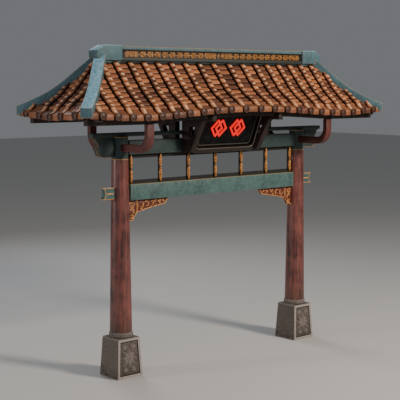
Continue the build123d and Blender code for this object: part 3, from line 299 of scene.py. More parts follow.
lacquer = maroon_lacquer()
print("finish", lacquer.name)

# %% [markdown]
# Mineral paint on the beams, ridge and brackets: blue-green pigment in limewash, laid by brush on timber.
# It chalks in pale clouds, darkens with rain streaks and flakes to bare brown wood in small spots. One
# function mixes every paint of the gateway, and a piece with painted lines hands in its own extra coats.

# %% Chalky mineral paint
PAINT_TEAL = "304B4A"
PAINT_PALE = "5A7B78"
PAINT_DEEP = "1D2C2B"
BARE_WOOD = "4A3628"
EDGE_TAN = "A5865C"


def mineral_paint(name, deep=PAINT_DEEP, middle=PAINT_TEAL, pale=PAINT_PALE, chips=0.5, cloud_mm=170,
                  edge=EDGE_TAN, edge_amount=0.75, edge_mm=10, lines=None):
    """Chalky brushed paint with pale clouds, dark stains, small chips and edges rubbed to the ground coat."""
    material, tree, shader, place = new_finish(name)
    clouds = patches(tree, place, cloud_mm, detail=6.0, low=0.3, high=0.72)
    mottle = patches(tree, place, 48, detail=5.0, low=0.36, high=0.66)
    brushed = patches(tree, place, 26, low=0.3, high=0.7, stretch=(0.35, 1, 1))
    stains = patches(tree, place, 90, low=0.55, high=0.75, stretch=(1, 1, 0.4))
    flakes = patches(tree, place, 16, detail=8.0, low=0.62, high=0.645)
    rubbed = edge_wear(tree, edge_mm, 6.0 * edge_amount, patches(tree, place, 45, low=0.2, high=0.5))
    colour = coats(tree, middle, (pale, clouds, 0.6), (pale, mottle, 0.5), (middle, brushed, 0.3),
                   (deep, stains, 0.4), (BARE_WOOD, flakes, chips), *(lines(tree, place) if lines else ()),
                   (edge, rubbed))
    dress(tree, shader, colour, 0.62, (brushed, 0.36), (flakes, -0.9))
    return material


# Darker copies of the blue-green paint, as painted shade under the eave: one for the tie plate, wings and
# capitals, one for the upper beam.
shaded_paint = mineral_paint("shade_darkened_blue_green_paint", "0F1615", "1F2F2E", "324745", edge_amount=0.5)
eave_shaded_upper_paint = mineral_paint("eave_shade_darkened_blue_green_paint", "0F1918", "1D2E2E", "2F4645", edge_amount=0.5)
red_paint = mineral_paint("red_brown_mineral_paint", "190B09", "421B17", "6E3931", chips=0.25, cloud_mm=110,
                          edge="9C5E50", edge_amount=0.4)
print("finishes", shaded_paint.name, eave_shaded_upper_paint.name, red_paint.name)

# %% [markdown]
# Gold lines pick out the beam: along the edges of the tenons that pass through the posts, round their
# notched ends, and as a short dash on their middle. The capitals have a gilt band at foot and top. Such
# lines could be thin strips of mesh, but they are paint, so they are masks worked out from the beam's axis.

# %% Painted lines of the lower beam and the capitals
beam_low, beam_high = box_of("lower_beam")
BEAM_AXIS_Z = (beam_low.z + beam_high.z) / 2
BEAM_TOP_Z = beam_high.z
TENON_LINE = (0.074, 0.087)
TENON_START_X = 1.995
DASH_HALF = 0.0075
DASH_X = (2.030, 2.135)
NOTCH_LINE_X = (2.154, 2.164)
NOTCH_BOW = 4.2
SHOULDER_LINE_X = (1.7145, 1.7195)
SHOULDER_X = 1.7575
GOLD_LINE = "B98346"
DASH_GOLD = "F2A04E"


def beam_lines(tree, place):
    """Coats for the gold lines on the beam's ends, its thin top line and the pale line at its shoulders."""
    split = add_node(tree, "ShaderNodeSeparateXYZ", {"Vector": place}).outputs
    x, z = split["X"], split["Z"]
    along = add_node(tree, "ShaderNodeMath", {0: x}, operation="ABSOLUTE").outputs[0]
    rise = add_node(tree, "ShaderNodeMath", {0: z, 1: BEAM_AXIS_Z}, operation="SUBTRACT").outputs[0]
    off_axis = add_node(tree, "ShaderNodeMath", {0: rise}, operation="ABSOLUTE").outputs[0]
    square = add_node(tree, "ShaderNodeMath", {0: rise, 1: rise}, operation="MULTIPLY").outputs[0]
    bowed = add_node(tree, "ShaderNodeMath", {0: square, 1: -NOTCH_BOW, 2: along}, operation="MULTIPLY_ADD")
    on_tenon = (along, TENON_START_X - 0.005, TENON_START_X + 0.005)
    on_beam = (along, SHOULDER_X + 0.0025, SHOULDER_X - 0.0025)
    return ((GOLD_LINE, inside(tree, bowed.outputs[0], *NOTCH_LINE_X)),
            (GOLD_LINE, inside(tree, off_axis, *TENON_LINE), on_tenon),
            (DASH_GOLD, inside(tree, along, *DASH_X), inside(tree, rise, -DASH_HALF, DASH_HALF)),
            ("8C8163", inside(tree, z, BEAM_TOP_Z - 0.0065, BEAM_TOP_Z + 0.003), on_beam, 0.8),
            ("6F8A80", inside(tree, along, *SHOULDER_LINE_X), 0.6))


capital_low, capital_high = box_of("capital_left")
CAPITAL_BAND = 0.012


def capital_bands(tree, place):
    """Coats for the raised bands at the foot and the top of a capital, which are gilt."""
    z = add_node(tree, "ShaderNodeSeparateXYZ", {"Vector": place}).outputs["Z"]
    foot = inside(tree, z, capital_low.z - 0.001, capital_low.z + CAPITAL_BAND)
    top = inside(tree, z, capital_high.z - CAPITAL_BAND, capital_high.z + 0.001)
    return ("9A7443", foot, 0.85), ("9A7443", top, 0.85)


beam_paint = mineral_paint("blue_green_mineral_paint_with_lines", lines=beam_lines)
# The capitals take the darker paint, as painted shade under the eave.
shaded_capital_paint = mineral_paint("shade_darkened_blue_green_paint_with_bands", "0F1615", "1F2F2E", "324745",
                              lines=capital_bands)
print("beam axis", round(BEAM_AXIS_Z, 3), "capitals", round(capital_low.z, 3), round(capital_high.z, 3))

# %% [markdown]
# The ridge and the hips are glazed, bluer than the beams. Faces that look at the sky are painted paler, in
# clouds, as painted light from above, and the edges are rubbed to tan clay. The main ridge has a dark sunk
# ground behind its relief, carried up as painted shadow under its top moulding, a dark foot moulding and a
# thin gold line along its top edge.

# %% Ridge glaze
RIDGE_TONES = ("22363A", "3B585C", "557C88")
RIDGE_FOOT_TOP_Z = 4.7550
# The dark ground reaches this high: its upper part is painted shadow under the top moulding.
RIDGE_GROUND_AND_SHADOW_TOP_Z = 4.8810
RIDGE_GOLD_FOOT_Z = 4.9207


def sky_lit_faces(tree, place):
    """Coats of painted light for faces that look at the sky, paler in clouds."""
    up = looking_along(tree, "Z", 0.3, 0.75)
    clouds = patches(tree, place, 60, detail=6.0, low=0.34, high=0.62)
    return ("6FA9C4", up, 0.9), ("A6D2E2", up, clouds, 0.7)


def ridge_bands(tree, place):
    """Coats for the ridge's dark foot, the dark ground behind its relief, carried up as painted shadow under
    the top moulding, and the gold line on its edge.
    """
    z = add_node(tree, "ShaderNodeSeparateXYZ", {"Vector": place}).outputs["Z"]
    return (("222D2D", (z, RIDGE_FOOT_TOP_Z + 0.001, RIDGE_FOOT_TOP_Z), 0.95),
            ("130F0C", (z, RIDGE_FOOT_TOP_Z - 0.001, RIDGE_FOOT_TOP_Z),
             (z, RIDGE_GROUND_AND_SHADOW_TOP_Z + 0.001, RIDGE_GROUND_AND_SHADOW_TOP_Z - 0.001)),
            ("AE7A38", (z, RIDGE_GOLD_FOOT_Z - 0.0007, RIDGE_GOLD_FOOT_Z + 0.0008),
             looking_along(tree, "Z", 0.98, 0.85)))


# The ridge and hip glaze is painted paler on faces that look up, as painted light.
ridge_paint = mineral_paint("blue_green_ridge_glaze", *RIDGE_TONES, chips=0.3, cloud_mm=220, edge="B98A5C",
                            edge_amount=1.0, edge_mm=18, lines=sky_lit_faces)
ridge_band_paint = mineral_paint("blue_green_ridge_glaze_with_bands", *RIDGE_TONES, chips=0.3, cloud_mm=220,
                                 lines=ridge_bands)
print("finishes", ridge_paint.name, ridge_band_paint.name)

# %% [markdown]
# Old softwood behind the paint: sawn boards, purlins and arms, stained nearly black by soot and rain. The
# grain is noise drawn out along the piece, so each direction of grain has its own finish. Real grain is
# finer than 9 mm, but finer lines would not show in the render.

# %% Sooty timber


def sooty_timber(name, stretch, deep="120C09", middle="2C1D16", pale="3A261D"):
    """Dark sawn timber with grain drawn out along one axis."""
    material, tree, shader, place = new_finish(name)
    grain = patches(tree, place, 9, detail=5.0, low=0.3, high=0.72, stretch=stretch)
    tone = patches(tree, place, 240, low=0.35, high=0.7)
    dress(tree, shader, coats(tree, deep, (middle, grain), (pale, tone, 0.4)), 0.74, (grain, 1.2))
    return material


timber_along = sooty_timber("sooty_timber_along", (0.06, 1, 1))
timber_across = sooty_timber("sooty_timber_across", (1, 0.06, 1))
timber_upright = sooty_timber("sooty_timber_upright", (1, 1, 0.06))
rail_timber = sooty_timber("charred_rail_timber", (0.06, 1, 1), "0B0A09", "1B1815", "232422")
print("finishes", timber_along.name, timber_across.name, timber_upright.name, rail_timber.name)

# %% [markdown]
# Fired clay tiles: each tile leaves the kiln in its own tone, from orange to dark brown. The tone is kept
# in an attribute that every tile gets when the rows are laid, and a second attribute says how high a point
# lies on its tile: the crowns get a painted highlight and the low joints a painted shade. Noise alone could
# not follow the tiles.

# %% Fired clay
CLAY_DARK = "5C3421"
CLAY_MIDDLE = "C47B4D"
CLAY_HIGHLIGHT_PALE = "FFD0A4"
CLAY_SOOT_AND_SHADE = "150C08"


def fired_clay():
    """Fired clay with a tone for each tile, a painted highlight on the crowns, painted shade low in the
    joints, and soot patches.
    """
    material, tree, shader, place = new_finish("fired_clay")
    read = [add_node(tree, "ShaderNodeAttribute", attribute_type="GEOMETRY", attribute_name=name)
            for name in ("tile_tone", "tile_crown")]
    tone, crown = [node.outputs["Fac"] for node in read]
    highlight_breakup = patches(tree, place, 45, low=0.25, high=0.62)
    soot = patches(tree, place, 22, detail=7.0, low=0.5, high=0.66)
    grit = patches(tree, place, 7, detail=3.0, low=0.3, high=0.7)
    # Pale crowns are a painted highlight, the dark coat on low crowns is painted shade in the joints, and the
    # small patches are soot.
    colour = coats(tree, CLAY_DARK, (CLAY_MIDDLE, tone), (CLAY_HIGHLIGHT_PALE, (crown, 0.85, 1.18), highlight_breakup),
                   (CLAY_SOOT_AND_SHADE, (crown, 0.42, 0.05), 0.93), (CLAY_SOOT_AND_SHADE, soot, 0.55))
    dress(tree, shader, colour, (soot, 0.42, 0.67), (grit, 0.7))
    return material


clay = fired_clay()
print("finish", clay.name)

# %% [markdown]
# Gilt trim and carving: gold size over red clay, rubbed thin so the clay shows in patches. A spindle also
# has dark hollows beside its waist ring and dark ends, where no hand or rain cleans it.

# %% Rubbed gilt
spindle_low, spindle_high = box_of("spindles")
SPINDLE_MIDDLE_Z = (spindle_low.z + spindle_high.z) / 2
WAIST_Z = SPINDLE_MIDDLE_Z + 0.004
WAIST_HOLLOW = (0.007, 0.016)
SPINDLE_CLEAN_HALF = 0.202


def waist_rings(tree, place):
    """Coats for the hollows above and below a spindle's waist ring, and for its two ends."""
    z = add_node(tree, "ShaderNodeSeparateXYZ", {"Vector": place}).outputs["Z"]
    rises = [add_node(tree, "ShaderNodeMath", {0: z, 1: level}, operation="SUBTRACT")
             for level in (WAIST_Z, SPINDLE_MIDDLE_Z)]
    sizes = [add_node(tree, "ShaderNodeMath", {0: rise.outputs[0]}, operation="ABSOLUTE") for rise in rises]
    off_waist, off_middle = [size.outputs[0] for size in sizes]
    return (("1E0F08", inside(tree, off_waist, *WAIST_HOLLOW)),
            ("54301C", (off_middle, SPINDLE_CLEAN_HALF - 0.001, SPINDLE_CLEAN_HALF + 0.001)))


def rubbed_gilt(name, gold, worn, shine, lines=None):
    """Old gilt paint, bright on the crowns and worn to brown in patches."""
    material, tree, shader, place = new_finish(name)
    rub = patches(tree, place, 24, detail=6.0, low=0.42, high=0.62)
    colour = coats(tree, gold, (worn, rub), *(lines(tree, place) if lines else ()))
    dress(tree, shader, colour, 0.42, (rub, 0.6))
    shader.inputs["Metallic"].default_value = shine
    return material


spindle_gilt = rubbed_gilt("rubbed_gilt", "D0924A", "7A4420", 0.2, lines=waist_rings)
relief_gilt = rubbed_gilt("gilt_relief", "AB7639", "4A3018", 0.1)
carving_gilt = rubbed_gilt("gilt_carving", "E6A864", "9A5C36", 0.15)
carving_ground = rubbed_gilt("rust_red_carving_ground", "6A2C1B", "341611", 0.0)
line_gilt = rubbed_gilt("gilt_lines", "A97B45", "5E4026", 0.2)
print("finishes", spindle_gilt.name, relief_gilt.name, carving_gilt.name, carving_ground.name, line_gilt.name)

# %% [markdown]
# The pedestals are dressed stone: close grey-brown grains, dark pits, soil near the ground, and pale edges
# where feet and carts rub. The front has a sunk panel, so the finish asks how deep a point lies behind the
# sloping face: the groove is black, the field is dark and pitted, and the border round it is pale.

# %% Dressed stone
pedestal_low, pedestal_high = box_of("pedestal_right")
POST_X = (pedestal_low.x + pedestal_high.x) / 2
PEDESTAL_HALF_FOOT = (pedestal_high.x - pedestal_low.x) / 2
PEDESTAL_HALF_TOP = 0.202
PEDESTAL_SLOPE = (PEDESTAL_HALF_FOOT - PEDESTAL_HALF_TOP) / pedestal_high.z
PANEL_MARGIN = 0.0455
FIELD_DEPTH = 0.0045
GROOVE_DEPTH = 0.009


def granite(name, edge_mm, rim):
    """Dressed stone with a worn edge of a real width. The rim says how pale the border of a panel is."""
    material, tree, shader, place = new_finish(name)
    grains = patches(tree, place, 11, detail=6.0, low=0.3, high=0.7)
    clouds = patches(tree, place, 150, low=0.35, high=0.68)
    blots = patches(tree, place, 55, low=0.4, high=0.62)
    pits = patches(tree, place, 26, detail=5.0, low=0.56, high=0.64)
    pocks = patches(tree, place, 17, detail=4.0, low=0.5, high=0.6)
    x, y, z = add_node(tree, "ShaderNodeSeparateXYZ", {"Vector": place}).outputs
    front = looking_along(tree, "Y", -0.8, -0.95)
    level = add_node(tree, "ShaderNodeMath", {0: z, 1: -PEDESTAL_SLOPE, 2: PEDESTAL_HALF_FOOT},
                     operation="MULTIPLY_ADD").outputs[0]
    sunk = add_node(tree, "ShaderNodeMath", {0: y, 1: level}, operation="ADD").outputs[0]
    side = add_node(tree, "ShaderNodeMath", {0: x}, operation="ABSOLUTE").outputs[0]
    offset = add_node(tree, "ShaderNodeMath", {0: side, 1: POST_X}, operation="SUBTRACT").outputs[0]
    across = add_node(tree, "ShaderNodeMath", {0: offset}, operation="ABSOLUTE").outputs[0]
    margin = add_node(tree, "ShaderNodeMath", {0: level, 1: across}, operation="SUBTRACT").outputs[0]
    panel = cover(tree, (margin, PANEL_MARGIN - 0.0015, PANEL_MARGIN + 0.0015),
                  (z, PANEL_MARGIN - 0.0015, PANEL_MARGIN + 0.0015),
                  (z, pedestal_high.z - PANEL_MARGIN + 0.0015, pedestal_high.z - PANEL_MARGIN - 0.0015))
    outside = add_node(tree, "ShaderNodeMath", {0: 1.0, 1: panel}, operation="SUBTRACT").outputs[0]
    border = cover(tree, inside(tree, sunk, -0.0100, 0.0012), front, outside, rim)
    rubbed = cover(tree, edge_wear(tree, edge_mm, 5.0), 0.85)
    pale = add_node(tree, "ShaderNodeMath", {0: rubbed, 1: border}, operation="MAXIMUM").outputs[0]
    field = inside(tree, sunk, FIELD_DEPTH - 0.0017, FIELD_DEPTH + 0.0017)
    groove = inside(tree, sunk, GROOVE_DEPTH - 0.0022, GROOVE_DEPTH + 0.005)
    colour = coats(tree, "4A423B", ("877D76", grains), ("5F554D", clouds, 0.4),
                   ("4B4034", (z, 0.22, 0.0), blots), ("352E28", pits, 0.5), ("4A3C34", field, front, 0.35),
                   ("1E1814", field, front, pocks, 0.8), ("D2C6BF", pale), ("100D0B", groove, 0.97))
    dress(tree, shader, colour, 0.83, (grains, 2.2), (pits, -2.2))
    return material


stone = granite("dressed_granite", 32, rim=0.45)
carved_stone = granite("carved_granite", 3, rim=0.0)
print("finishes", stone.name, carved_stone.name, "slope", round(PEDESTAL_SLOPE, 3))

# %% [markdown]
# The sign is a powder-coated steel box with a brushed line round a black acrylic screen. The tubes are
# red glass, lit from inside, so their colour comes from emission. It is kept low enough for a full red:
# a stronger light would turn them pink in the render.

# %% Sign finishes


def powder_coat():
    """Dark grey powder coat: a fine orange peel, scuffed paler in patches and along the edges."""
    material, tree, shader, place = new_finish("powder_coated_steel")
    scuffs = patches(tree, place, 45, detail=7.0, low=0.5, high=0.7)
    peel = patches(tree, place, 5, detail=1.0, low=0.3, high=0.7)
    colour = coats(tree, "251F1B", ("453B33", scuffs, 0.5), ("8E8276", edge_wear(tree, 9, 6.0), 0.8))
    dress(tree, shader, colour, 0.42, (peel, 0.25))
    shader.inputs["Metallic"].default_value = 0.3
    return material


def smooth_finish(name, colour, roughness, metallic=0.0, gloss=0.5):
    """A smooth sheet finish with a faint haze of dust."""
    material, tree, shader, place = new_finish(name)
    haze = patches(tree, place, 120, low=0.4, high=0.65)
    dress(tree, shader, coats(tree, colour, ("6E6A66", haze, 0.05)), roughness)
    shader.inputs["Metallic"].default_value = metallic
    shader.inputs["Specular IOR Level"].default_value = gloss
    return material


def lit_glass():
    """Red glass tube with light in it."""
    material, tree, shader, place = new_finish("lit_red_glass")
    core = patches(tree, place, 90, low=0.2, high=0.8)
    tree.links.new(coats(tree, "FF0000", ("FF0200", core)), shader.inputs["Emission Color"])
    shader.inputs["Emission Strength"].default_value = 1.15
    shader.inputs["Base Color"].default_value = srgb("3A0402")
    shader.inputs["Roughness"].default_value = 0.2
    return material


sign_coat = powder_coat()
# The pale lip of the sign is a painted highlight along the frame's inner edge.
sign_lip_highlight_finish = smooth_finish("pale_steel_lip_highlight", "8B8178", 0.38, metallic=0.6)
sign_line = smooth_finish("brushed_aluminium", "5C5854", 0.4, metallic=0.9)
sign_black = smooth_finish("black_acrylic", "040404", 0.5, gloss=0.12)
sign_glow = lit_glass()
print("finishes", sign_coat.name, sign_line.name, sign_black.name, sign_glow.name)

# %% [markdown]
# Hand-worked timber and stone have softened arrises. A CAD solid has knife edges, which catch no light. So
# each kept piece is a copy of its solid with the loose triangles merged, flat faces joined and a narrow
# bevel, and the copy stands for the node.

# %% Ease the edges of a node
MERGE_DISTANCE = 0.00005
FLAT_ANGLE = math.radians(1)
EDGE_ANGLE = math.radians(28)
EDGE_SEGMENTS = 2
SMOOTH_ANGLE = math.radians(40)


def finished(obj, material, slot_name, *replaced):
    """Gives a finished piece its finish, its body and the nodes that it stands for."""
    obj.data.materials.clear()
    obj.data.materials.append(material)
    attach(obj, "root")
    if replaced:
        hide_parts(*replaced)
    return obj


def slot_of(node):
    """The record's material slot of a node."""
    return next(p["material_slot"] for p in frame["record"]["subparts"] if p["node"] == node)


def eased(node, material, edge_mm):
    """A copy of a node with its arrises rounded to a real width."""
    mesh = frame["nodes"][node].data.copy()
    obj = bpy.data.objects.new(node + "_eased", mesh)
    bpy.context.scene.collection.objects.link(obj)
    work = bmesh.new()
    work.from_mesh(mesh)
    bmesh.ops.remove_doubles(work, verts=work.verts, dist=MERGE_DISTANCE)
    bmesh.ops.dissolve_limit(work, angle_limit=FLAT_ANGLE, verts=work.verts, edges=work.edges)
    work.to_mesh(mesh)
    work.free()
    bevel = obj.modifiers.new("eased edges", "BEVEL")
    bevel.width = edge_mm / 1000.0
    bevel.segments = EDGE_SEGMENTS
    bevel.limit_method = "ANGLE"
    bevel.angle_limit = EDGE_ANGLE
    bevel.use_clamp_overlap = True
    evaluated = obj.evaluated_get(bpy.context.evaluated_depsgraph_get())
    solid = bpy.data.meshes.new_from_object(evaluated)
    obj.modifiers.clear()
    obj.data = solid
    for face in solid.polygons:
        face.use_smooth = True
    solid.set_sharp_from_angle(angle=SMOOTH_ANGLE)
    return finished(obj, material, slot_of(node), node)


print("easing ready, on", sum(len(node.data.polygons) for node in frame["nodes"].values()), "bare triangles")

# %% [markdown]
# Each kept piece gets the finish of its real material, and an edge as round as its maker and its age would
# leave it: a few millimetres on beams and stone, more on the hand-cut hooks. The rings at the feet of the
# posts are dressed stone too. The upper beam, the tie plate and the wings take the darker copies of the
# paint, as painted shade under the eave.

# %% Ease the beams, brackets, hips, sign and stones
EASED = {
    "upper_beam": (eave_shaded_upper_paint, 6), "lower_beam": (beam_paint, 4), "tie_plate": (shaded_paint, 5),
    "wing_panel_left": (shaded_paint, 4), "wing_panel_right": (shaded_paint, 4),
    "hook_front_left": (red_paint, 22), "hook_front_right": (red_paint, 20),
    "hook_back_left": (red_paint, 20), "hook_back_right": (red_paint, 20),
    "purlin_front_left": (timber_along, 6), "purlin_front_right": (timber_along, 6),
    "purlin_back_left": (timber_along, 6), "purlin_back_right": (timber_along, 6),
    "side_purlin_left": (timber_across, 6), "side_purlin_right": (timber_across, 6),
    "ridge_cap_left": (ridge_paint, 14), "ridge_cap_right": (ridge_paint, 14),
    "hip_ridge_front_left": (ridge_paint, 7), "hip_ridge_front_right": (ridge_paint, 7),
    "hip_ridge_back_left": (ridge_paint, 7), "hip_ridge_back_right": (ridge_paint, 7),
    "ridge_body": (ridge_band_paint, 5),
    "sign_arm_left": (timber_upright, 5), "sign_arm_right": (timber_upright, 5),
    "back_arm_left": (timber_upright, 5), "back_arm_right": (timber_upright, 5),
    "sign_frame": (sign_coat, 4), "corner_bracket_left": (carving_ground, 4),
    "corner_bracket_right": (carving_ground, 4), "pedestal_left": (stone, 5), "pedestal_right": (stone, 5),
}
face_count = 0
for node, (material, edge_mm) in EASED.items():
    face_count += len(eased(node, material, edge_mm).data.polygons)
for node in ("ring_left", "ring_right"):
    eased(node, stone, 8)
print("eased", len(EASED), "nodes,", face_count, "faces, and two rings")

# %% [markdown]
# The roof slopes are concave, steeper towards the ridge, and the eave lifts in the middle and at the
# corners. Each row of tiles needs its own line on that form. Reading it off the boards would be rough, so
# the construction's own rules are written out here in metres, and the rows land on the boards exactly.

# %% Rows of the roof
EAVE_HALF = {"front": 3.075, "side": 0.871}
EAVE_HALF_DEPTH = 0.871
DECK_EAVE_Z = 3.886
EAVE_SLOPE = 0.78
RIDGE_SLOPE = 1.19
BEND_RUN = 0.4
BEND_SOFTNESS = 0.1
CORNER_LIFT = 0.06
MIDDLE_LIFT = 0.095
MIDDLE_LIFT_HALF = 2.0
TILE_TOP_RUN = 0.774
PAN_TOP = 0.034
BARREL_HALF = 0.05
GROOVE = 0.026
COVER_SHIFT = 0.03
HIP_INSET = 0.1167
ROWS_EACH_WAY = 11
ROW_PITCH = 0.257
ROW_SPREAD = 0.127
ROW_SPREAD_REACH = 1.75
SIDE_ROWS = [-0.625, -0.275, 0.0, 0.275, 0.625]


def eave_lift(facing, along):
    """Lift of the eave at a place along it, in the middle and near the corners."""
    corner = CORNER_LIFT * max(0.0, 1 - (EAVE_HALF[facing] - abs(along)) / EAVE_HALF_DEPTH) ** 1.6
    if facing == "side" or abs(along) >= MIDDLE_LIFT_HALF:
        return corner
    return corner + MIDDLE_LIFT * math.cos(math.pi * along / (2 * MIDDLE_LIFT_HALF)) ** 1.5


def deck_height(lift, run):
    """Height of the boards in a row at a distance in plan from the eave."""
    def bend(r):
        return ((r - BEND_RUN) + math.hypot(r - BEND_RUN, BEND_SOFTNESS)) / 2
    slope = EAVE_SLOPE * run + (RIDGE_SLOPE - EAVE_SLOPE) * (bend(run) - bend(0))
    return DECK_EAVE_Z + slope + lift * max(0.0, 1 - run / BEND_RUN) ** 1.15


def slope_rows(facing):
    """The pans (left, right, lift) and the covers (centre, lift) of a slope, seen with its eave in front."""
    if facing == "front":
        steps = [k + 0.5 for k in range(ROWS_EACH_WAY)]
        half = [ROW_PITCH * k + ROW_SPREAD * (1 - math.exp(-k / ROW_SPREAD_REACH)) for k in steps]
        centres = [-place for place in reversed(half)] + half
    else:
        centres = SIDE_ROWS
    limit = EAVE_HALF[facing]
    edges = [-limit] + [place + COVER_SHIFT for place in centres] + [limit]
    pans = []
    for k, (start, end) in enumerate(zip(edges, edges[1:])):
        middle = (max(start, HIP_INSET - limit) + min(end, limit - HIP_INSET)) / 2
        left = start if k == 0 else start + BARREL_HALF
        right = end if k == len(edges) - 2 else end - BARREL_HALF - GROOVE
        pans.append((left, right, eave_lift(facing, middle)))
    covers = [(place, max(pans[k][2], pans[k + 1][2])) for k, place in enumerate(edges[1:-1])]
    return pans, covers


print("rows on the front:", len(slope_rows("front")[1]), "on a side:", len(slope_rows("side")[1]))

# %% [markdown]
# Two kinds of tile carry the whole roof. The pan is nearly flat with a rounded nose that laps the tile
# below it. The cover is a half barrel, swollen in the middle, that straddles the joint between two pans.
# Each is made once, and the laying below repeats it. A mesh from stations is chosen over a sculpted one,
# because its few dozen faces are laid hundreds of times.

# %% Skins over rings of points


def mesh_object(name, points, faces, **values):
    """An object from points and faces, with named values for its points, linked to the scene."""
    mesh = bpy.data.meshes.new(name)
    mesh.from_pydata(points, [], faces)
    for value_name, numbers in values.items():
        mesh.attributes.new(value_name, "FLOAT", "POINT").data.foreach_set("value", numbers)
    obj = bpy.data.objects.new(name, mesh)
    bpy.context.scene.collection.objects.link(obj)
    return obj


def loft(rings, closed=False):
    """Points and faces of a skin over rings with the same number of points, with a face at each end."""
    points = [point for ring in rings for point in ring]
    count = len(rings[0])
    faces = []
    for r in range(len(rings) - 1):
        for k in range(count if closed else count - 1):
            after = (k + 1) % count
            faces.append((r * count + k, r * count + after, (r + 1) * count + after, (r + 1) * count + k))
    faces.append(tuple(reversed(range(count))))
    faces.append(tuple(range(len(points) - count, len(points))))
    return points, faces


def turned_over(faces):
    """The same faces, looking the other way."""
    return [tuple(reversed(face)) for face in faces]


print("skins ready")

# %% One cover tile and one pan tile
COURSE = 0.0885
TILE_LAP = 0.02
BARREL_CROWN = 0.07
BARREL_SHOULDER = 0.012
BARREL_RISE = BARREL_CROWN - PAN_TOP - BARREL_SHOULDER
COVER_SIDES = 12
PAN_SIDES = 6


def cover_section(width, lift):
    """The barrel of a cover tile across the row, from one skirt over the crown to the other."""
    ring = [(-BARREL_HALF * width, -PAN_TOP)]
    for k in range(COVER_SIDES + 1):
        angle = math.pi * (1 - k / COVER_SIDES)
        rise = BARREL_RISE * math.sin(angle) * width
        ring.append((BARREL_HALF * width * math.cos(angle), BARREL_SHOULDER + rise + lift))
    return ring + [(BARREL_HALF * width, -PAN_TOP)]


# The last number of each tile station is its crown value: high values paint a highlight on the crown, low
# ones paint shade in the joints.
def cover_tile():
    """A cover tile one course long, its tail over the tile below and its head under the next."""
    stations = [(0.0, 0.90, 0.002, 0.4), (0.003, 0.96, 0.006, 0.75), (0.014, 1.01, 0.0085, 1.0),
                (0.034, 1.05, 0.008, 1.25), (0.058, 1.03, 0.004, 1.0), (0.074, 0.98, 0.0, 0.6),
                (0.084, 0.94, -0.003, 0.1), (COURSE + TILE_LAP, 0.90, -0.008, 0.0)]
    rings = [[(x, y, z) for x, z in cover_section(width, lift)] for y, width, lift, worn in stations]
    arch = [math.sin(math.pi * k / COVER_SIDES) ** 0.8 for k in range(COVER_SIDES + 1)]
    crowns = [worn * height for y, width, lift, worn in stations for height in (0.0, *arch, 0.0)]
    points, faces = loft(rings)
    return mesh_object("cover_tile", points, turned_over(faces), tile_crown=crowns)


def pan_tile():
    """A pan tile one course long and one metre wide, to be scaled to the width of its row."""
    stations = [(0.002, -0.014, 0.1), (-0.002, -0.003, 0.25), (0.001, 0.005, 0.7), (0.008, 0.0095, 0.85),
                (0.022, 0.009, 0.6), (0.05, 0.005, 0.36), (0.074, 0.001, 0.22), (0.082, 0.0, 0.02),
                (COURSE + TILE_LAP, -0.006, 0.0)]
    rings = []
    crowns = []
    for y, z, worn in stations:
        ring = [(-0.5, y, -PAN_TOP)]
        for k in range(PAN_SIDES + 1):
            x = k / PAN_SIDES - 0.5
            ring.append((x, y, z - 0.004 + 0.005 * (2 * x) ** 2))
        rings.append(ring + [(0.5, y, -PAN_TOP)])
        crowns.extend([0.0] + [worn] * (PAN_SIDES + 1) + [0.0])
    points, faces = loft(rings)
    return mesh_object("pan_tile", points, turned_over(faces), tile_crown=crowns)


cover_template = cover_tile()
pan_template = pan_tile()
print("one cover:", len(cover_template.data.polygons), "faces, one pan:", len(pan_template.data.polygons))

# %% [markdown]
# Laying tiles is one rule along many lines, so Geometry Nodes does it: walk up each row in steps of one
# course, set a tile at each step square to the slope, turn it by a hair as a tiler's hand would, and give
# it a tone from the kiln. The course, the unevenness and the seed are inputs, so other roofs can use it.

# %% Geometry Nodes: lay tiles along rows
HAND_SPREAD = (1.0, 0.6, 0.8)
KILN_SEED_STEP = 50.0


def group_input(tree, name, value, kind="NodeSocketFloat"):
    """Adds a named input to a node group."""
    socket = tree.interface.new_socket(name=name, in_out="INPUT", socket_type=kind)
    if value is not None:
        socket.default_value = value


def input_names(tree):
    """The names of what a node group takes."""
    return [socket.name for socket in tree.interface.items_tree if socket.in_out == "INPUT"]


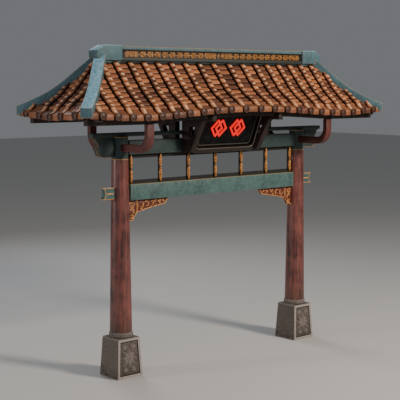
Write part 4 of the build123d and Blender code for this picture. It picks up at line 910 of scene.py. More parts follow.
def tile_laying():
    """The node group that lays a tile along every row."""
    tree = bpy.data.node_groups.new("lay_tiles", "GeometryNodeTree")
    tree.interface.new_socket(name="Geometry", in_out="OUTPUT", socket_type="NodeSocketGeometry")
    tree.interface.new_socket(name="Rows", in_out="INPUT", socket_type="NodeSocketGeometry")
    group_input(tree, "Tile", None, "NodeSocketObject")
    group_input(tree, "Course", COURSE)
    group_input(tree, "Unevenness", 0.02)
    group_input(tree, "Seed", 1, "NodeSocketInt")
    group_input(tree, "Finish", None, "NodeSocketMaterial")
    given = tree.nodes.new("NodeGroupInput").outputs
    rows = add_node(tree, "GeometryNodeMeshToCurve", {"Mesh": given["Rows"]})
    steps = add_node(tree, "GeometryNodeResampleCurve", {"Curve": rows.outputs[0], "Length": given["Course"]},
                     mode="LENGTH")
    tangent = tree.nodes.new("GeometryNodeInputTangent")
    square = add_node(tree, "FunctionNodeAlignRotationToVector", {"Vector": tangent.outputs[0]},
                      axis="Y", pivot_axis="X")
    spread = add_node(tree, "ShaderNodeVectorMath", {0: given["Unevenness"], 1: HAND_SPREAD},
                      operation="MULTIPLY")
    back = add_node(tree, "ShaderNodeVectorMath", {0: spread.outputs[0], 1: (-1.0, -1.0, -1.0)},
                    operation="MULTIPLY")
    hand = add_node(tree, "FunctionNodeRandomValue",
                    {0: back.outputs[0], 1: spread.outputs[0], "Seed": given["Seed"]},
                    data_type="FLOAT_VECTOR")
    turned = add_node(tree, "FunctionNodeEulerToRotation", {0: hand.outputs[0]})
    laid = add_node(tree, "FunctionNodeRotateRotation", {0: square.outputs[0], 1: turned.outputs[0]},
                    rotation_space="LOCAL")
    width = add_node(tree, "GeometryNodeInputNamedAttribute", {"Name": "row_width"}, data_type="FLOAT")
    size = add_node(tree, "ShaderNodeCombineXYZ", {"X": width.outputs["Attribute"], "Y": 1.0, "Z": 1.0})
    tile = add_node(tree, "GeometryNodeObjectInfo", {"Object": given["Tile"]})
    course = add_node(tree, "GeometryNodeInstanceOnPoints",
                      {"Points": steps.outputs[0], "Instance": tile.outputs["Geometry"],
                       "Rotation": laid.outputs[0], "Scale": size.outputs[0]})
    kiln_seed = add_node(tree, "ShaderNodeMath", {0: given["Seed"], 1: KILN_SEED_STEP}, operation="ADD")
    kiln = add_node(tree, "FunctionNodeRandomValue", {"Seed": kiln_seed.outputs[0]}, data_type="FLOAT")
    tone = add_node(tree, "GeometryNodeStoreNamedAttribute",
                    {"Geometry": course.outputs[0], "Name": "tile_tone", "Value": kiln.outputs[1]},
                    data_type="FLOAT", domain="INSTANCE")
    real = add_node(tree, "GeometryNodeRealizeInstances", {"Geometry": tone.outputs[0]})
    finish = add_node(tree, "GeometryNodeSetMaterial",
                      {"Geometry": real.outputs[0], "Material": given["Finish"]})
    out = tree.nodes.new("NodeGroupOutput")
    tree.links.new(finish.outputs[0], out.inputs[0])
    return tree


def run_tree(obj, tree, **values):
    """Runs a node group on an object and keeps the result as its plain mesh."""
    modifier = obj.modifiers.new(tree.name, "NODES")
    modifier.node_group = tree
    for item in tree.interface.items_tree:
        if item.item_type == "SOCKET" and item.in_out == "INPUT" and item.name in values:
            modifier[item.identifier] = values[item.name]
    bpy.context.view_layer.update()
    evaluated = obj.evaluated_get(bpy.context.evaluated_depsgraph_get())
    made = bpy.data.meshes.new_from_object(evaluated)
    obj.modifiers.clear()
    obj.data = made
    return obj


def row_lines(name, lines, width):
    """An object of bare lines, one for each row, each point with the width of its row."""
    points = []
    edges = []
    widths = []
    for line, row_width in zip(lines, width):
        start = len(points)
        points.extend(line)
        edges.extend((start + k, start + k + 1) for k in range(len(line) - 1))
        widths.extend([row_width] * len(line))
    mesh = bpy.data.meshes.new(name)
    mesh.from_pydata(points, edges, [])
    attribute = mesh.attributes.new("row_width", "FLOAT", "POINT")
    attribute.data.foreach_set("value", widths)
    obj = bpy.data.objects.new(name, mesh)
    bpy.context.scene.collection.objects.link(obj)
    return obj


tiler = tile_laying()
print("node group", tiler.name, "takes", input_names(tiler))

# %% [markdown]
# The eave ends every row in special pieces. A cover ends in a long trumpet that flares to a round disc, and
# a pan ends in a thick drip with a rounded upper edge, which throws the rain clear of the boards. They are
# skins over rings too, because each one is as wide as its own row and follows its own lift.

# %% Eave pieces: trumpets with discs
EAVE_PIECE_RUN = 0.135
DISC_HIGH = 0.0236
DISC_SHAPE = ((-0.010, 0.0575), (-0.014, 0.0565), (-0.0145, 0.052), (-0.0145, 0.046), (-0.009, 0.043),
              (-0.009, 0.024), (-0.013, 0.018), (-0.0135, 0.004))
# A trumpet's crown values rise to its top for a painted highlight; the disc's low values paint its face in
# shade.
DISC_CROWNS = (0.42, 0.32, 0.30, 0.27, 0.2, 0.2, 0.28, 0.28)
TRUMPET_RINGS = 9
TRUMPET_SIDES = 24
TRUMPET_TONE = 0.6


def eave_cover(centre, lift):
    """Rings of a trumpet from a cover's section to a round disc, with the disc's own relief."""
    rings = []
    disc_z = deck_height(lift, 0.0) + DISC_HIGH
    angles = [2 * math.pi * k / TRUMPET_SIDES for k in range(TRUMPET_SIDES)]
    for step in range(TRUMPET_RINGS):
        share = step / (TRUMPET_RINGS - 1)
        run = EAVE_PIECE_RUN * (1 - share) - 0.006 * share
        base = deck_height(lift, run) + PAN_TOP
        round_share = share * share * (3 - 2 * share)
        swell = 1.04 - 0.06 * math.sin(math.pi * min(1.0, share * 1.4)) + 0.12 * max(0.0, share - 0.6) / 0.4
        ring = []
        for angle in angles:
            across = BARREL_HALF * math.cos(angle)
            height = BARREL_RISE * 1.12 if math.sin(angle) >= 0 else 0.04
            up = base + BARREL_SHOULDER + height * math.sin(angle)
            disc_up = disc_z + BARREL_HALF * math.sin(angle)
            z = up + (disc_up - up) * round_share
            middle = base + BARREL_SHOULDER + (disc_z - base - BARREL_SHOULDER) * round_share
            ring.append((centre + across * swell, run, middle + (z - middle) * swell))
        rings.append(ring)
    for run, radius in DISC_SHAPE:
        rings.append([(centre + radius * math.cos(angle), run, disc_z + radius * math.sin(angle))
                      for angle in angles])
    points, faces = loft(rings, closed=True)
    tones = [TRUMPET_TONE if k < TRUMPET_RINGS * TRUMPET_SIDES else 0.0 for k in range(len(points))]
    crowns = [max(0.0, 0.15 + math.sin(angle)) for angle in angles] * TRUMPET_RINGS
    crowns += [worn for worn in DISC_CROWNS for angle in angles]
    return points, turned_over(faces), tones, crowns


print("one trumpet:", len(eave_cover(0.0, 0.0)[1]), "faces")

# %% Eave pieces: drips
DRIP_LAP = 0.012
DRIP_SHAPE = ((EAVE_PIECE_RUN + DRIP_LAP, 0.032), (0.11, 0.037), (0.07, 0.041), (0.035, 0.046),
              (0.018, 0.0495), (0.008, 0.049), (0.001, 0.0435), (-0.0025, 0.034), (-0.003, 0.02),
              (-0.003, -0.017), (-0.001, -0.0235), (0.006, -0.025), (0.0255, -0.025), (0.0255, 0.004),
              (EAVE_PIECE_RUN + DRIP_LAP, 0.004))
# Crown values of a drip: the rounded nose gets the painted highlight.
DRIP_CROWNS = [0.4, 0.42, 0.4, 0.5, 0.8, 1.0, 0.9, 0.45, 0.36, 0.32, 0.2, 0.1, 0.0, 0.0, 0.0]


def eave_drip(left, right, lift, tone):
    """A drip as wide as its pan: the slope on top, a rounded nose and an upright front."""
    def profile(shrink):
        outline = []
        for run, up in DRIP_SHAPE:
            slope = deck_height(lift, max(run, 0.0))
            outline.append((run + shrink * (0.3 if run > 0.02 else 1.0), slope + up - shrink * (up > 0.01)))
        return outline
    rings = []
    for x, shrink in ((left, 0.005), (left + 0.002, 0.0015), (left + 0.006, 0.0), (right - 0.006, 0.0),
                      (right - 0.002, 0.0015), (right, 0.005)):
        rings.append([(x, run, z) for run, z in profile(shrink)])
    points, faces = loft(rings, closed=True)
    return points, turned_over(faces), [tone] * len(points), DRIP_CROWNS * len(rings)


print("one drip:", len(eave_drip(-0.1, 0.1, 0.0, 0.5)[1]), "faces")

# %% [markdown]
# A slope is laid as if it stood in front of the reader, with its eave towards them, and is turned to its own
# side at the end. The rows run past the hips, so a cut along each hip trims the tiles there, as a tiler
# saws them. Front and back are one piece each, and the two small sides share one.

# %% Lay the four slopes
HIP_CUT = 0.07
ROW_POINTS = 15
REAL_EDGE_ANGLE = math.radians(38)
UNEVENNESS = {"pan": 0.014, "cover": 0.022}


def row_line(facing, along, lift):
    """The line of a row from above its eave piece to its last course."""
    start = EAVE_PIECE_RUN - 0.004
    far = EAVE_HALF[facing] - abs(along) + 0.05
    end = max(start + 0.07, min(TILE_TOP_RUN - 0.058, far))
    runs = [start + (end - start) * k / (ROW_POINTS - 1) for k in range(ROW_POINTS)]
    return [(along, run, deck_height(lift, run) + PAN_TOP) for run in runs]


def joined(name, parts):
    """One object from several lists of points, faces, tones and crowns."""
    points, faces, tones, crowns = [], [], [], []
    for part_points, part_faces, part_tones, part_crowns in parts:
        start = len(points)
        points.extend(part_points)
        faces.extend(tuple(start + k for k in face) for face in part_faces)
        tones.extend(part_tones)
        crowns.extend(part_crowns)
    return mesh_object(name, points, faces, tile_tone=tones, tile_crown=crowns)


def placed_on(side, u, v):
    """The place in plan of a point of a slope, from its place along the eave and its run."""
    return {"front": (u, v - EAVE_HALF_DEPTH), "back": (u, EAVE_HALF_DEPTH - v),
            "right": (EAVE_HALF["front"] - v, u), "left": (v - EAVE_HALF["front"], u)}[side]


def slope_part(name, laid, ends, side):
    """Joins the courses and the eave pieces of a slope, cuts them at the hips and puts them in place."""
    facing = "front" if side in ("front", "back") else "side"
    work = bmesh.new()
    work.from_mesh(laid.data)
    work.from_mesh(ends.data)
    for way in (-1, 1):
        edge = Vector((way * (EAVE_HALF[facing] - HIP_CUT), 0.0, 0.0))
        bmesh.ops.bisect_plane(work, geom=work.verts[:] + work.edges[:] + work.faces[:], dist=0.00001,
                               plane_co=edge, plane_no=Vector((way, 1.0, 0.0)), clear_outer=True)
    for vert in work.verts:
        vert.co.x, vert.co.y = placed_on(side, vert.co.x, vert.co.y)
    if side in ("back", "left"):
        bmesh.ops.reverse_faces(work, faces=work.faces[:])
    mesh = bpy.data.meshes.new(name)
    work.to_mesh(mesh)
    work.free()
    for obj in (laid, ends):
        bpy.data.objects.remove(obj)
    return mesh


def tiled_slope(kind, side, seed):
    """All the pans or all the covers of one slope."""
    facing = "front" if side in ("front", "back") else "side"
    pans, covers = slope_rows(facing)
    kiln = random.Random(seed)
    if kind == "pan":
        lines = [row_line(facing, (left + right) / 2, lift) for left, right, lift in pans]
        widths = [right - left for left, right, lift in pans]
        ends = [eave_drip(left, right, lift, kiln.uniform(0.0, 0.6)) for left, right, lift in pans]
        template = pan_template
    else:
        lines = [row_line(facing, centre, lift) for centre, lift in covers]
        widths = [1.0] * len(covers)
        ends = [eave_cover(centre, lift) for centre, lift in covers]
        template = cover_template
    laid = run_tree(row_lines("rows", lines, widths), tiler, Tile=template, Course=COURSE,
                    Unevenness=UNEVENNESS[kind], Seed=seed, Finish=clay)
    return slope_part(f"{kind}_{side}", laid, joined("ends", ends), side)


def one_piece(name, meshes, material, slot_name, *replaced):
    """One finished object from several meshes, smooth but for its real edges."""
    work = bmesh.new()
    for mesh in meshes:
        work.from_mesh(mesh)
    mesh = bpy.data.meshes.new(name)
    work.to_mesh(mesh)
    work.free()
    obj = bpy.data.objects.new(name, mesh)
    bpy.context.scene.collection.objects.link(obj)
    for face in mesh.polygons:
        face.use_smooth = True
    mesh.set_sharp_from_angle(angle=REAL_EDGE_ANGLE)
    return finished(obj, material, slot_name, *replaced)


face_count = 0
for kind, seed in (("pan", 3), ("cover", 7)):
    sides = [tiled_slope(kind, side, seed + k) for k, side in enumerate(("left", "right"), 20)]
    pieces = [one_piece(f"{kind}_tiles_on_{side}", [tiled_slope(kind, side, seed + k)], clay, "fired_tile",
                        f"{kind}_tiles_{side}") for k, side in enumerate(("front", "back"))]
    pieces.append(one_piece(f"{kind}_tiles_on_sides", sides, clay, "fired_tile", f"{kind}_tiles_sides"))
    face_count += sum(len(piece.data.polygons) for piece in pieces)
for template in (cover_template, pan_template):
    bpy.data.objects.remove(template)
print("tiles laid,", face_count, "faces")

# %% [markdown]
# Carved scrolls follow drawn lines, so they are drawn first and given their round section by Geometry
# Nodes: the line is evened out, swept with a round section and closed at its ends. The same group makes
# the carving of the corner brackets, the bead of the wings, the lip of the sign and the stone clouds.

# %% Geometry Nodes: carve a round moulding along drawn lines
CARVING_STEP = 0.006
CARVING_SIDES = 8


def carving():
    """The node group that sweeps a round section along lines."""
    tree = bpy.data.node_groups.new("carve_along_lines", "GeometryNodeTree")
    tree.interface.new_socket(name="Geometry", in_out="OUTPUT", socket_type="NodeSocketGeometry")
    tree.interface.new_socket(name="Lines", in_out="INPUT", socket_type="NodeSocketGeometry")
    group_input(tree, "Step", CARVING_STEP)
    group_input(tree, "Sides", CARVING_SIDES, "NodeSocketInt")
    group_input(tree, "Finish", None, "NodeSocketMaterial")
    given = tree.nodes.new("NodeGroupInput").outputs
    lines = add_node(tree, "GeometryNodeMeshToCurve", {"Mesh": given["Lines"]})
    even = add_node(tree, "GeometryNodeResampleCurve", {"Curve": lines.outputs[0], "Length": given["Step"]},
                    mode="LENGTH")
    radius = add_node(tree, "GeometryNodeInputNamedAttribute", {"Name": "row_width"}, data_type="FLOAT")
    sized = add_node(tree, "GeometryNodeSetCurveRadius",
                     {"Curve": even.outputs[0], "Radius": radius.outputs["Attribute"]})
    section = add_node(tree, "GeometryNodeCurvePrimitiveCircle",
                       {"Resolution": given["Sides"], "Radius": 1.0})
    swept = add_node(tree, "GeometryNodeCurveToMesh",
                     {"Curve": sized.outputs[0], "Profile Curve": section.outputs[0],
                      "Scale": radius.outputs["Attribute"], "Fill Caps": True})
    real = add_node(tree, "GeometryNodeRealizeInstances", {"Geometry": swept.outputs[0]})
    finish = add_node(tree, "GeometryNodeSetMaterial",
                      {"Geometry": real.outputs[0], "Material": given["Finish"]})
    out = tree.nodes.new("NodeGroupOutput")
    tree.links.new(finish.outputs[0], out.inputs[0])
    return tree


def carved(name, drawn, material, slot_name):
    """A finished piece of carving from lines in space, each with its own radius."""
    lines = [line for line, radius in drawn]
    obj = run_tree(row_lines(name, lines, [radius for line, radius in drawn]), carver, Step=CARVING_STEP,
                   Sides=CARVING_SIDES, Finish=material)
    for face in obj.data.polygons:
        face.use_smooth = True
    return finished(obj, material, slot_name)


carver = carving()
print("node group", carver.name, "takes", input_names(carver))

# %% [markdown]
# The corner brackets are carved in low relief: a bead follows the scalloped edge, and a chain of scrolls,
# each with two leaves, fills the field from the post outwards. The carver's own lines would be too many to
# draw one by one, so one spiral with a place, a size and a start angle is the pattern for all of them.

# %% Carving of the corner brackets


def scroll(centre_u, centre_v, radius, start_deg, turns=1.6, way=1):
    """A spiral in a plane, from its outer end to its eye."""
    points = []
    for k in range(int(turns * 20) + 1):
        share = k / (turns * 20)
        reach = radius * (1 - 0.78 * share)
        angle = math.radians(start_deg) + way * share * turns * 2 * math.pi
        points.append((centre_u + reach * math.cos(angle), centre_v + reach * math.sin(angle)))
    return points


WALL_X = 1.7385
BRACKET_FOOT_Z = 2.340
BRACKET_ARM = 0.765
BRACKET_LEG = 0.310
BRACKET_FACE = 0.025
SCALLOPS = [(-0.01, 0.012), (0.102, 0.013), (0.125, 0.097), (0.136, 0.2), (0.165, 0.271), (0.196, 0.381),
            (0.23, 0.426), (0.268, 0.413), (0.327, 0.471), (0.392, 0.484), (0.451, 0.535), (0.516, 0.542),
            (0.575, 0.594), (0.641, 0.594), (0.699, 0.645), (0.765, 0.645), (0.824, 0.69), (0.889, 0.69),
            (0.922, 0.748), (0.985, 0.985)]
BEAD_RADIUS = 0.0075
SCROLL_RADIUS = 0.0056
LEAF_RADIUS = 0.0044
STAKE = [(0.155, 0.125), (0.155, 0.305)]
STAKE_RADIUS = 0.012


def bracket_lines():
    """The bead along the scalloped edge, and the scrolls and leaves on the field, from the post outwards."""
    lines = [([(u * BRACKET_ARM, v * BRACKET_LEG) for u, v in SCALLOPS], BEAD_RADIUS)]
    scrolls = [(0.064, 0.058, 0.036, 200, 1), (0.070, 0.140, 0.042, 150, -1), (0.064, 0.236, 0.048, 210, 1),
               (0.240, 0.216, 0.052, 250, 1), (0.346, 0.233, 0.045, 180, -1), (0.438, 0.241, 0.039, 250, 1),
               (0.520, 0.249, 0.034, 180, -1), (0.594, 0.257, 0.029, 250, 1), (0.658, 0.265, 0.024, 180, -1)]
    for u, v, radius, start, way in scrolls:
        lines.append((scroll(u, v, radius, start, way=way), SCROLL_RADIUS))
        for leaf_start in (start + 95, start + 225):
            leaf = []
            for k in range(7):
                reach = (0.62 + 0.5 * k / 6) * radius
                angle = math.radians(leaf_start + 14 * k)
                leaf.append((u + reach * math.cos(angle), v + reach * math.sin(angle)))
            lines.append((leaf, LEAF_RADIUS))
    lines.append((STAKE, STAKE_RADIUS))
    return lines


for side, way in (("left", -1), ("right", 1)):
    drawn = []
    for face in (-1, 1):
        for line, radius in bracket_lines():
            placed = [(way * (WALL_X - u), face * BRACKET_FACE, BRACKET_FOOT_Z + v) for u, v in line]
            drawn.append((placed, radius))
    piece = carved(f"bracket_carving_{side}", drawn, carving_gilt, slot_of(f"corner_bracket_{side}"))
    print(piece.name, len(piece.data.polygons), "faces")

# %% [markdown]
# The wing panels have a thin gilt bead along their scalloped edge, on both faces. The sign has a lip round
# its screen, painted pale as the highlight along the frame's inner edge. Both are round mouldings along a
# line, so the same group makes them.

# %% Bead of the wing panels and lip of the sign
WING_INNER_X = 2.015
WING_OUTER_X = 2.386
WING_BOTTOM_Z = 3.305
WING_HEIGHT = 0.300
WING_FACE = 0.0325
WING_BEAD_RADIUS = 0.0042
WING_SCALLOPS = [(1.0, 0.012), (0.54, 0.012), (0.445, 0.025), (0.345, 0.07), (0.248, 0.143), (0.200, 0.21),
                 (0.212, 0.293), (0.162, 0.376), (0.128, 0.48), (0.184, 0.527), (0.243, 0.547),
                 (0.243, 0.617), (0.195, 0.716), (0.141, 0.835), (0.125, 0.93)]
SIGN_ORIGIN = Vector((0.0, -0.210, 3.309))
SIGN_TILT = math.radians(22.1)
SIGN_HEIGHT = 0.79976
LIP_HALF_WIDE = 0.6075
LIP_INSET = 0.073
LIP_CORNER = 0.078
LIP_RADIUS = 0.0045
CORNER_STEPS = 8


def rounded_loop(half_wide, half_high, radius):
    """A closed line round a rectangle with rounded corners."""
    points = []
    for way_u, way_v, start in ((1, 1, 0), (-1, 1, 90), (-1, -1, 180), (1, -1, 270)):
        for k in range(CORNER_STEPS + 1):
            angle = math.radians(start + 90 * k / CORNER_STEPS)
            points.append((way_u * (half_wide - radius) + radius * math.cos(angle),
                           way_v * (half_high - radius) + radius * math.sin(angle)))
    return points + [points[0]]


for side, way in (("left", -1), ("right", 1)):
    drawn = [([(way * (WING_OUTER_X - (WING_OUTER_X - WING_INNER_X) * u), face * WING_FACE,
                WING_BOTTOM_Z + WING_HEIGHT * v) for u, v in WING_SCALLOPS], WING_BEAD_RADIUS)
             for face in (-1, 1)]
    carved(f"wing_bead_{side}", drawn, line_gilt, slot_of(f"wing_panel_{side}"))


def on_sign(u, v, forward):
    """A place on the sign, from its middle line, its lower edge and its face."""
    return (u, SIGN_ORIGIN.y - v * math.sin(SIGN_TILT) - forward * math.cos(SIGN_TILT),
            SIGN_ORIGIN.z + v * math.cos(SIGN_TILT) - forward * math.sin(SIGN_TILT))


lip = rounded_loop(LIP_HALF_WIDE, SIGN_HEIGHT / 2 - LIP_INSET, LIP_CORNER)
carved("sign_lip", [([on_sign(u, SIGN_HEIGHT / 2 + v, 0.0) for u, v in lip], LIP_RADIUS)], sign_lip_highlight_finish,
       slot_of("sign_frame"))
print("beads and sign lip ready")

# %% [markdown]
# Clouds are cut in the sunk field of each pedestal, above and below its rosette. Stone doesn't take lines
# as thin as wood does, so each cloud is one open scroll with a short tail. They lean back with the face.

# %% Cloud scrolls of the pedestals
PEDESTAL_MIDDLE_Z = pedestal_high.z / 2
PEDESTAL_FACE_Y = PEDESTAL_HALF_FOOT - PEDESTAL_SLOPE * PEDESTAL_MIDDLE_Z
PEDESTAL_TAPER = math.atan(PEDESTAL_SLOPE)
CLOUD_RADIUS = 0.0055
TAIL_RADIUS = 0.0045


def cloud_lines():
    """Cloud scrolls above and below the rosette of a pedestal's panel."""
    lines = []
    for u, v, radius, start, way in ((-0.058, 0.155, 0.046, 300, 1), (0.052, 0.170, 0.040, 200, -1),
                                     (0.0, 0.105, 0.030, 90, 1), (-0.098, 0.085, 0.028, 20, 1),
                                     (0.095, 0.092, 0.030, 160, -1), (-0.066, -0.150, 0.050, 60, -1),
                                     (0.058, -0.158, 0.046, 120, 1), (0.0, -0.105, 0.030, 270, 1),
                                     (-0.110, -0.078, 0.028, 340, -1), (0.108, -0.085, 0.030, 200, 1),
                                     (-0.112, 0.008, 0.024, 0, 1), (0.112, 0.002, 0.024, 180, -1)):
        lines.append((scroll(u, v, radius, start, turns=1.4, way=way), CLOUD_RADIUS))
        tail = []
        for k in range(5):
            reach = radius * (1 + 0.16 * k)
            angle = math.radians(start - way * 22 * k)
            tail.append((u + reach * math.cos(angle), v + reach * math.sin(angle)))
        lines.append((tail, TAIL_RADIUS))
    return lines


for side, post_x in (("left", -POST_X), ("right", POST_X)):
    drawn = []
    for line, radius in cloud_lines():
        placed = [(post_x + u, FIELD_DEPTH - PEDESTAL_FACE_Y + v * math.sin(PEDESTAL_TAPER),
                   PEDESTAL_MIDDLE_Z + v * math.cos(PEDESTAL_TAPER)) for u, v in line]
        drawn.append((placed, radius))
    piece = carved(f"pedestal_carving_{side}", drawn, carved_stone, slot_of(f"pedestal_{side}"))
    print(piece.name, len(piece.data.polygons), "faces")

# %% [markdown]
# A run of equal turned spindles is one turned profile, set out at an equal pitch. The profile is lathed
# once, and Geometry Nodes sets it out: count, pitch and finish are its inputs.

# %% Geometry Nodes: set out turned spindles
SPINDLE_FOOT_Z = 2.890
SPINDLE_HEIGHT = 0.444
SPINDLE_RADIUS = 0.024
SPINDLE_FORWARD = 0.028
SPINDLE_PITCH = 0.563
SPINDLE_COUNT = 7
SPINDLE_SIDES = 20
SPINDLE_SHAPE = [(0.38, 0.0), (0.38, 0.025), (0.50, 0.04), (0.50, 0.052), (0.62, 0.08), (0.80, 0.14),
                 (0.94, 0.22), (1.0, 0.31), (0.96, 0.38), (0.80, 0.43), (0.55, 0.465), (0.40, 0.485),
                 (0.44, 0.492), (0.62, 0.496), (0.66, 0.51), (0.62, 0.524), (0.44, 0.528), (0.40, 0.535),
                 (0.52, 0.548), (0.76, 0.59), (0.92, 0.66), (0.95, 0.73), (0.86, 0.81), (0.68, 0.89),
                 (0.50, 0.945), (0.50, 0.957), (0.38, 0.965), (0.36, 1.0)]


def turned_spindle():
    """A spindle turned from its profile, with its foot at the origin."""
    angles = [2 * math.pi * k / SPINDLE_SIDES for k in range(SPINDLE_SIDES)]
    rings = [[(SPINDLE_RADIUS * r * math.cos(angle), SPINDLE_RADIUS * r * math.sin(angle), SPINDLE_HEIGHT * z)
              for angle in angles] for r, z in SPINDLE_SHAPE]
    points, faces = loft(rings, closed=True)
    return mesh_object("turned_spindle", points, faces)


def setting_out():
    """The node group that sets out equal pieces along a straight line, the middle one at the origin."""
    tree = bpy.data.node_groups.new("set_out_in_a_row", "GeometryNodeTree")
    tree.interface.new_socket(name="Geometry", in_out="OUTPUT", socket_type="NodeSocketGeometry")
    tree.interface.new_socket(name="Start", in_out="INPUT", socket_type="NodeSocketGeometry")
    group_input(tree, "Piece", None, "NodeSocketObject")
    group_input(tree, "Count", SPINDLE_COUNT, "NodeSocketInt")
    group_input(tree, "Pitch", SPINDLE_PITCH)
    group_input(tree, "Finish", None, "NodeSocketMaterial")
    given = tree.nodes.new("NodeGroupInput").outputs
    offset = add_node(tree, "ShaderNodeCombineXYZ", {"X": given["Pitch"]})
    gaps = add_node(tree, "ShaderNodeMath", {0: given["Count"], 1: 1.0}, operation="SUBTRACT")
    span = add_node(tree, "ShaderNodeMath", {0: gaps.outputs[0], 1: given["Pitch"]}, operation="MULTIPLY")
    half = add_node(tree, "ShaderNodeMath", {0: span.outputs[0], 1: -0.5}, operation="MULTIPLY")
    first = add_node(tree, "ShaderNodeCombineXYZ",
                     {"X": half.outputs[0], "Y": -SPINDLE_FORWARD, "Z": SPINDLE_FOOT_Z})
    line = add_node(tree, "GeometryNodeMeshLine",
                    {"Count": given["Count"], "Start Location": first.outputs[0],
                     "Offset": offset.outputs[0]}, mode="OFFSET")
    source = add_node(tree, "GeometryNodeObjectInfo", {"Object": given["Piece"]})
    placed = add_node(tree, "GeometryNodeInstanceOnPoints",
                      {"Points": line.outputs[0], "Instance": source.outputs["Geometry"]})
    real = add_node(tree, "GeometryNodeRealizeInstances", {"Geometry": placed.outputs[0]})
    finish = add_node(tree, "GeometryNodeSetMaterial",
                      {"Geometry": real.outputs[0], "Material": given["Finish"]})
    out = tree.nodes.new("NodeGroupOutput")
    tree.links.new(finish.outputs[0], out.inputs[0])
    return tree


one_spindle = turned_spindle()
set_out = run_tree(mesh_object("turned_spindles", [(0, 0, 0)], []), setting_out(), Piece=one_spindle,
                   Count=SPINDLE_COUNT, Pitch=SPINDLE_PITCH, Finish=spindle_gilt)
bpy.data.objects.remove(one_spindle)
spindles = one_piece("turned_spindles_on_rail", [set_out.data], spindle_gilt, slot_of("spindles"), "spindles")
bpy.data.objects.remove(set_out)
print("spindles", len(spindles.data.polygons), "faces")

# %% [markdown]
# The ridge carries a gilt fret: crosses whose arms meet, with a framed square at each end and two beside
# the middle. Each cell is a flat outline with a chamfered upper edge, as it would be cast or cut from board.

# %% Gilt fret of the ridge
BAND_FACE = 0.062
FRET_LOW_Z = 4.7700
FRET_HIGH_Z = 4.8560
FRET_RISE = 0.013
FRET_MIDDLE_X = 0.022
CROSS_CELL = 0.1419
SQUARE_CELL = 0.270
MIDDLE_GAP = 0.0375
CELLS_EACH_WAY = 9
RIGHT_HALF_SCALE = 0.989
CROSS_HALF = 0.052
CROSS_ARM = 0.017
CROSS_PINCH = 0.009
PLATE_HALF = {"cross": 0.0690, "square": 0.1330}
PLATE_NECK = 0.019
HALF_HIGH = (FRET_HIGH_Z - FRET_LOW_Z) / 2


def cross_outline():
    """A cross of four arms that reach the corners of its cell."""
    a, b, arm, pinch = CROSS_HALF, HALF_HIGH, CROSS_ARM, CROSS_PINCH
    return [(a, b), (a, b - arm), (pinch, 0), (a, arm - b), (a, -b), (a - arm, -b), (0, -pinch),
            (arm - a, -b), (-a, -b), (-a, arm - b), (-pinch, 0), (-a, b - arm), (-a, b), (arm - a, b),
            (0, pinch), (a - arm, b)]


def plate_outline(half_wide):
    """The thin plate behind a cell, narrowed to a neck where it meets the next one."""
    neck, high = half_wide - PLATE_NECK, HALF_HIGH - 0.002
    return [(half_wide, 0.009), (half_wide, -0.009), (neck, -0.016), (neck, -high), (-neck, -high),
            (-neck, -0.016), (-half_wide, -0.009), (-half_wide, 0.009), (-neck, 0.016), (-neck, high),
            (neck, high), (neck, 0.016)]


def chamfered(outline, middle_x, thickness, edge):
    """A flat shape on the ridge's face, with its upper edge drawn in."""
    def ring(shrink, forward):
        points = []
        count = len(outline)
        for k, (u, v) in enumerate(outline):
            before, after = outline[k - 1], outline[(k + 1) % count]
            back = Vector((u - before[0], v - before[1])).normalized()
            ahead = Vector((after[0] - u, after[1] - v)).normalized()
            inward = Vector((back.y, -back.x)) + Vector((ahead.y, -ahead.x))
            inward = inward / max(0.6, inward.length_squared / 2)
            points.append((middle_x + u + inward.x * shrink, -BAND_FACE - forward,
                           (FRET_LOW_Z + FRET_HIGH_Z) / 2 + v + inward.y * shrink))
        return points
    return loft([ring(0.0, -0.002), ring(0.0, thickness - edge), ring(edge, thickness)], closed=True)


def box_outline(half_wide, half_high):
    """A rectangle, in the same turning sense as the crosses."""
    return [(half_wide, half_high), (half_wide, -half_high), (-half_wide, -half_high),
            (-half_wide, half_high)]


def fret_cells():
    """The cells of one face: kind of cell and the place of its middle along the ridge."""
    cells = []
    for way, scale in ((-1, 1.0), (1, RIGHT_HALF_SCALE)):
        place = MIDDLE_GAP + SQUARE_CELL / 2
        cells.append(("square", FRET_MIDDLE_X + way * scale * place))
        place += SQUARE_CELL / 2 + CROSS_CELL / 2
        for k in range(CELLS_EACH_WAY):
            cells.append(("cross", FRET_MIDDLE_X + way * scale * (place + k * CROSS_CELL)))
        place += (CELLS_EACH_WAY - 0.5) * CROSS_CELL + SQUARE_CELL / 2
        cells.append(("square", FRET_MIDDLE_X + way * scale * place))
    return cells


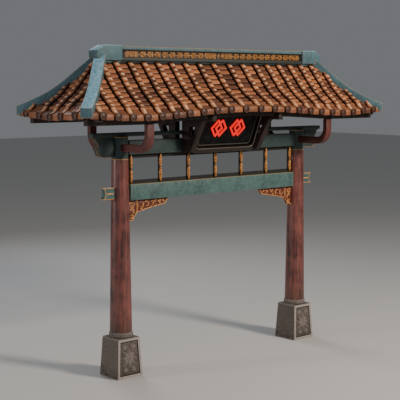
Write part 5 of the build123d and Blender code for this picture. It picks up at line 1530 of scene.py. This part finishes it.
def square_bars():
    """The five blocks of a framed square: its place in the cell, half its width and half its height."""
    return ((0, HALF_HIGH - 0.009, 0.052, 0.007), (0, 0.009 - HALF_HIGH, 0.052, 0.007),
            (-0.045, 0, 0.007, HALF_HIGH - 0.017), (0.045, 0, 0.007, HALF_HIGH - 0.017), (0, 0, 0.014, 0.014))


fret_parts = [chamfered(box_outline(0.021, HALF_HIGH - 0.005), FRET_MIDDLE_X, 0.006, edge=0.003)]
for kind, middle_x in fret_cells():
    fret_parts.append(chamfered(plate_outline(PLATE_HALF[kind]), middle_x, 0.005, edge=0.002))
    if kind == "cross":
        fret_parts.append(chamfered(cross_outline(), middle_x, FRET_RISE, edge=0.004))
        continue
    for u, v, bar_wide, bar_high in square_bars():
        bar = [(u + x, v + z) for x, z in box_outline(bar_wide, bar_high)]
        fret_parts.append(chamfered(bar, middle_x, FRET_RISE, edge=0.003))
fret_mesh = bpy.data.meshes.new("fret")
fret_points, fret_faces = [], []
for points, faces in fret_parts:
    for turned in (False, True):
        start = len(fret_points)
        fret_points.extend((x, -y, z) if turned else (x, y, z) for x, y, z in points)
        fret_faces.extend(tuple(start + k for k in (reversed(face) if turned else face)) for face in faces)
fret_mesh.from_pydata(fret_points, [], fret_faces)
fret = one_piece("ridge_fret", [fret_mesh], relief_gilt, slot_of("ridge_ornament"), "ridge_ornament")
print("fret", len(fret.data.polygons), "faces")

# %% [markdown]
# The rest of the construction needs no new form: the posts are round already, and the timbers under the roof
# stand in the dark. These nodes keep their own mesh and only get a finish.

# %% Finishes of the nodes that stay as they are
KEPT = {
    "lattice_rails": rail_timber, "lattice_stiles": timber_upright, "purlin_front_middle": timber_along,
    "purlin_back_middle": timber_along, "roof_boards_front": timber_across,
    "roof_boards_back": timber_across, "roof_boards_sides": timber_along, "cross_ties": timber_across,
    "king_posts": timber_upright, "ridge_beam": timber_along, "hip_rafters": timber_along,
    "sign_housing": sign_coat, "sign_screen": sign_black, "sign_bezel": sign_line, "sign_tubes": sign_glow,
    "post_left": lacquer, "post_right": lacquer,
    "capital_left": shaded_capital_paint, "capital_right": shaded_capital_paint,
}
for node, material in KEPT.items():
    mesh = frame["nodes"][node].data
    mesh.materials.clear()
    mesh.materials.append(material)
print("kept", len(KEPT), "nodes")
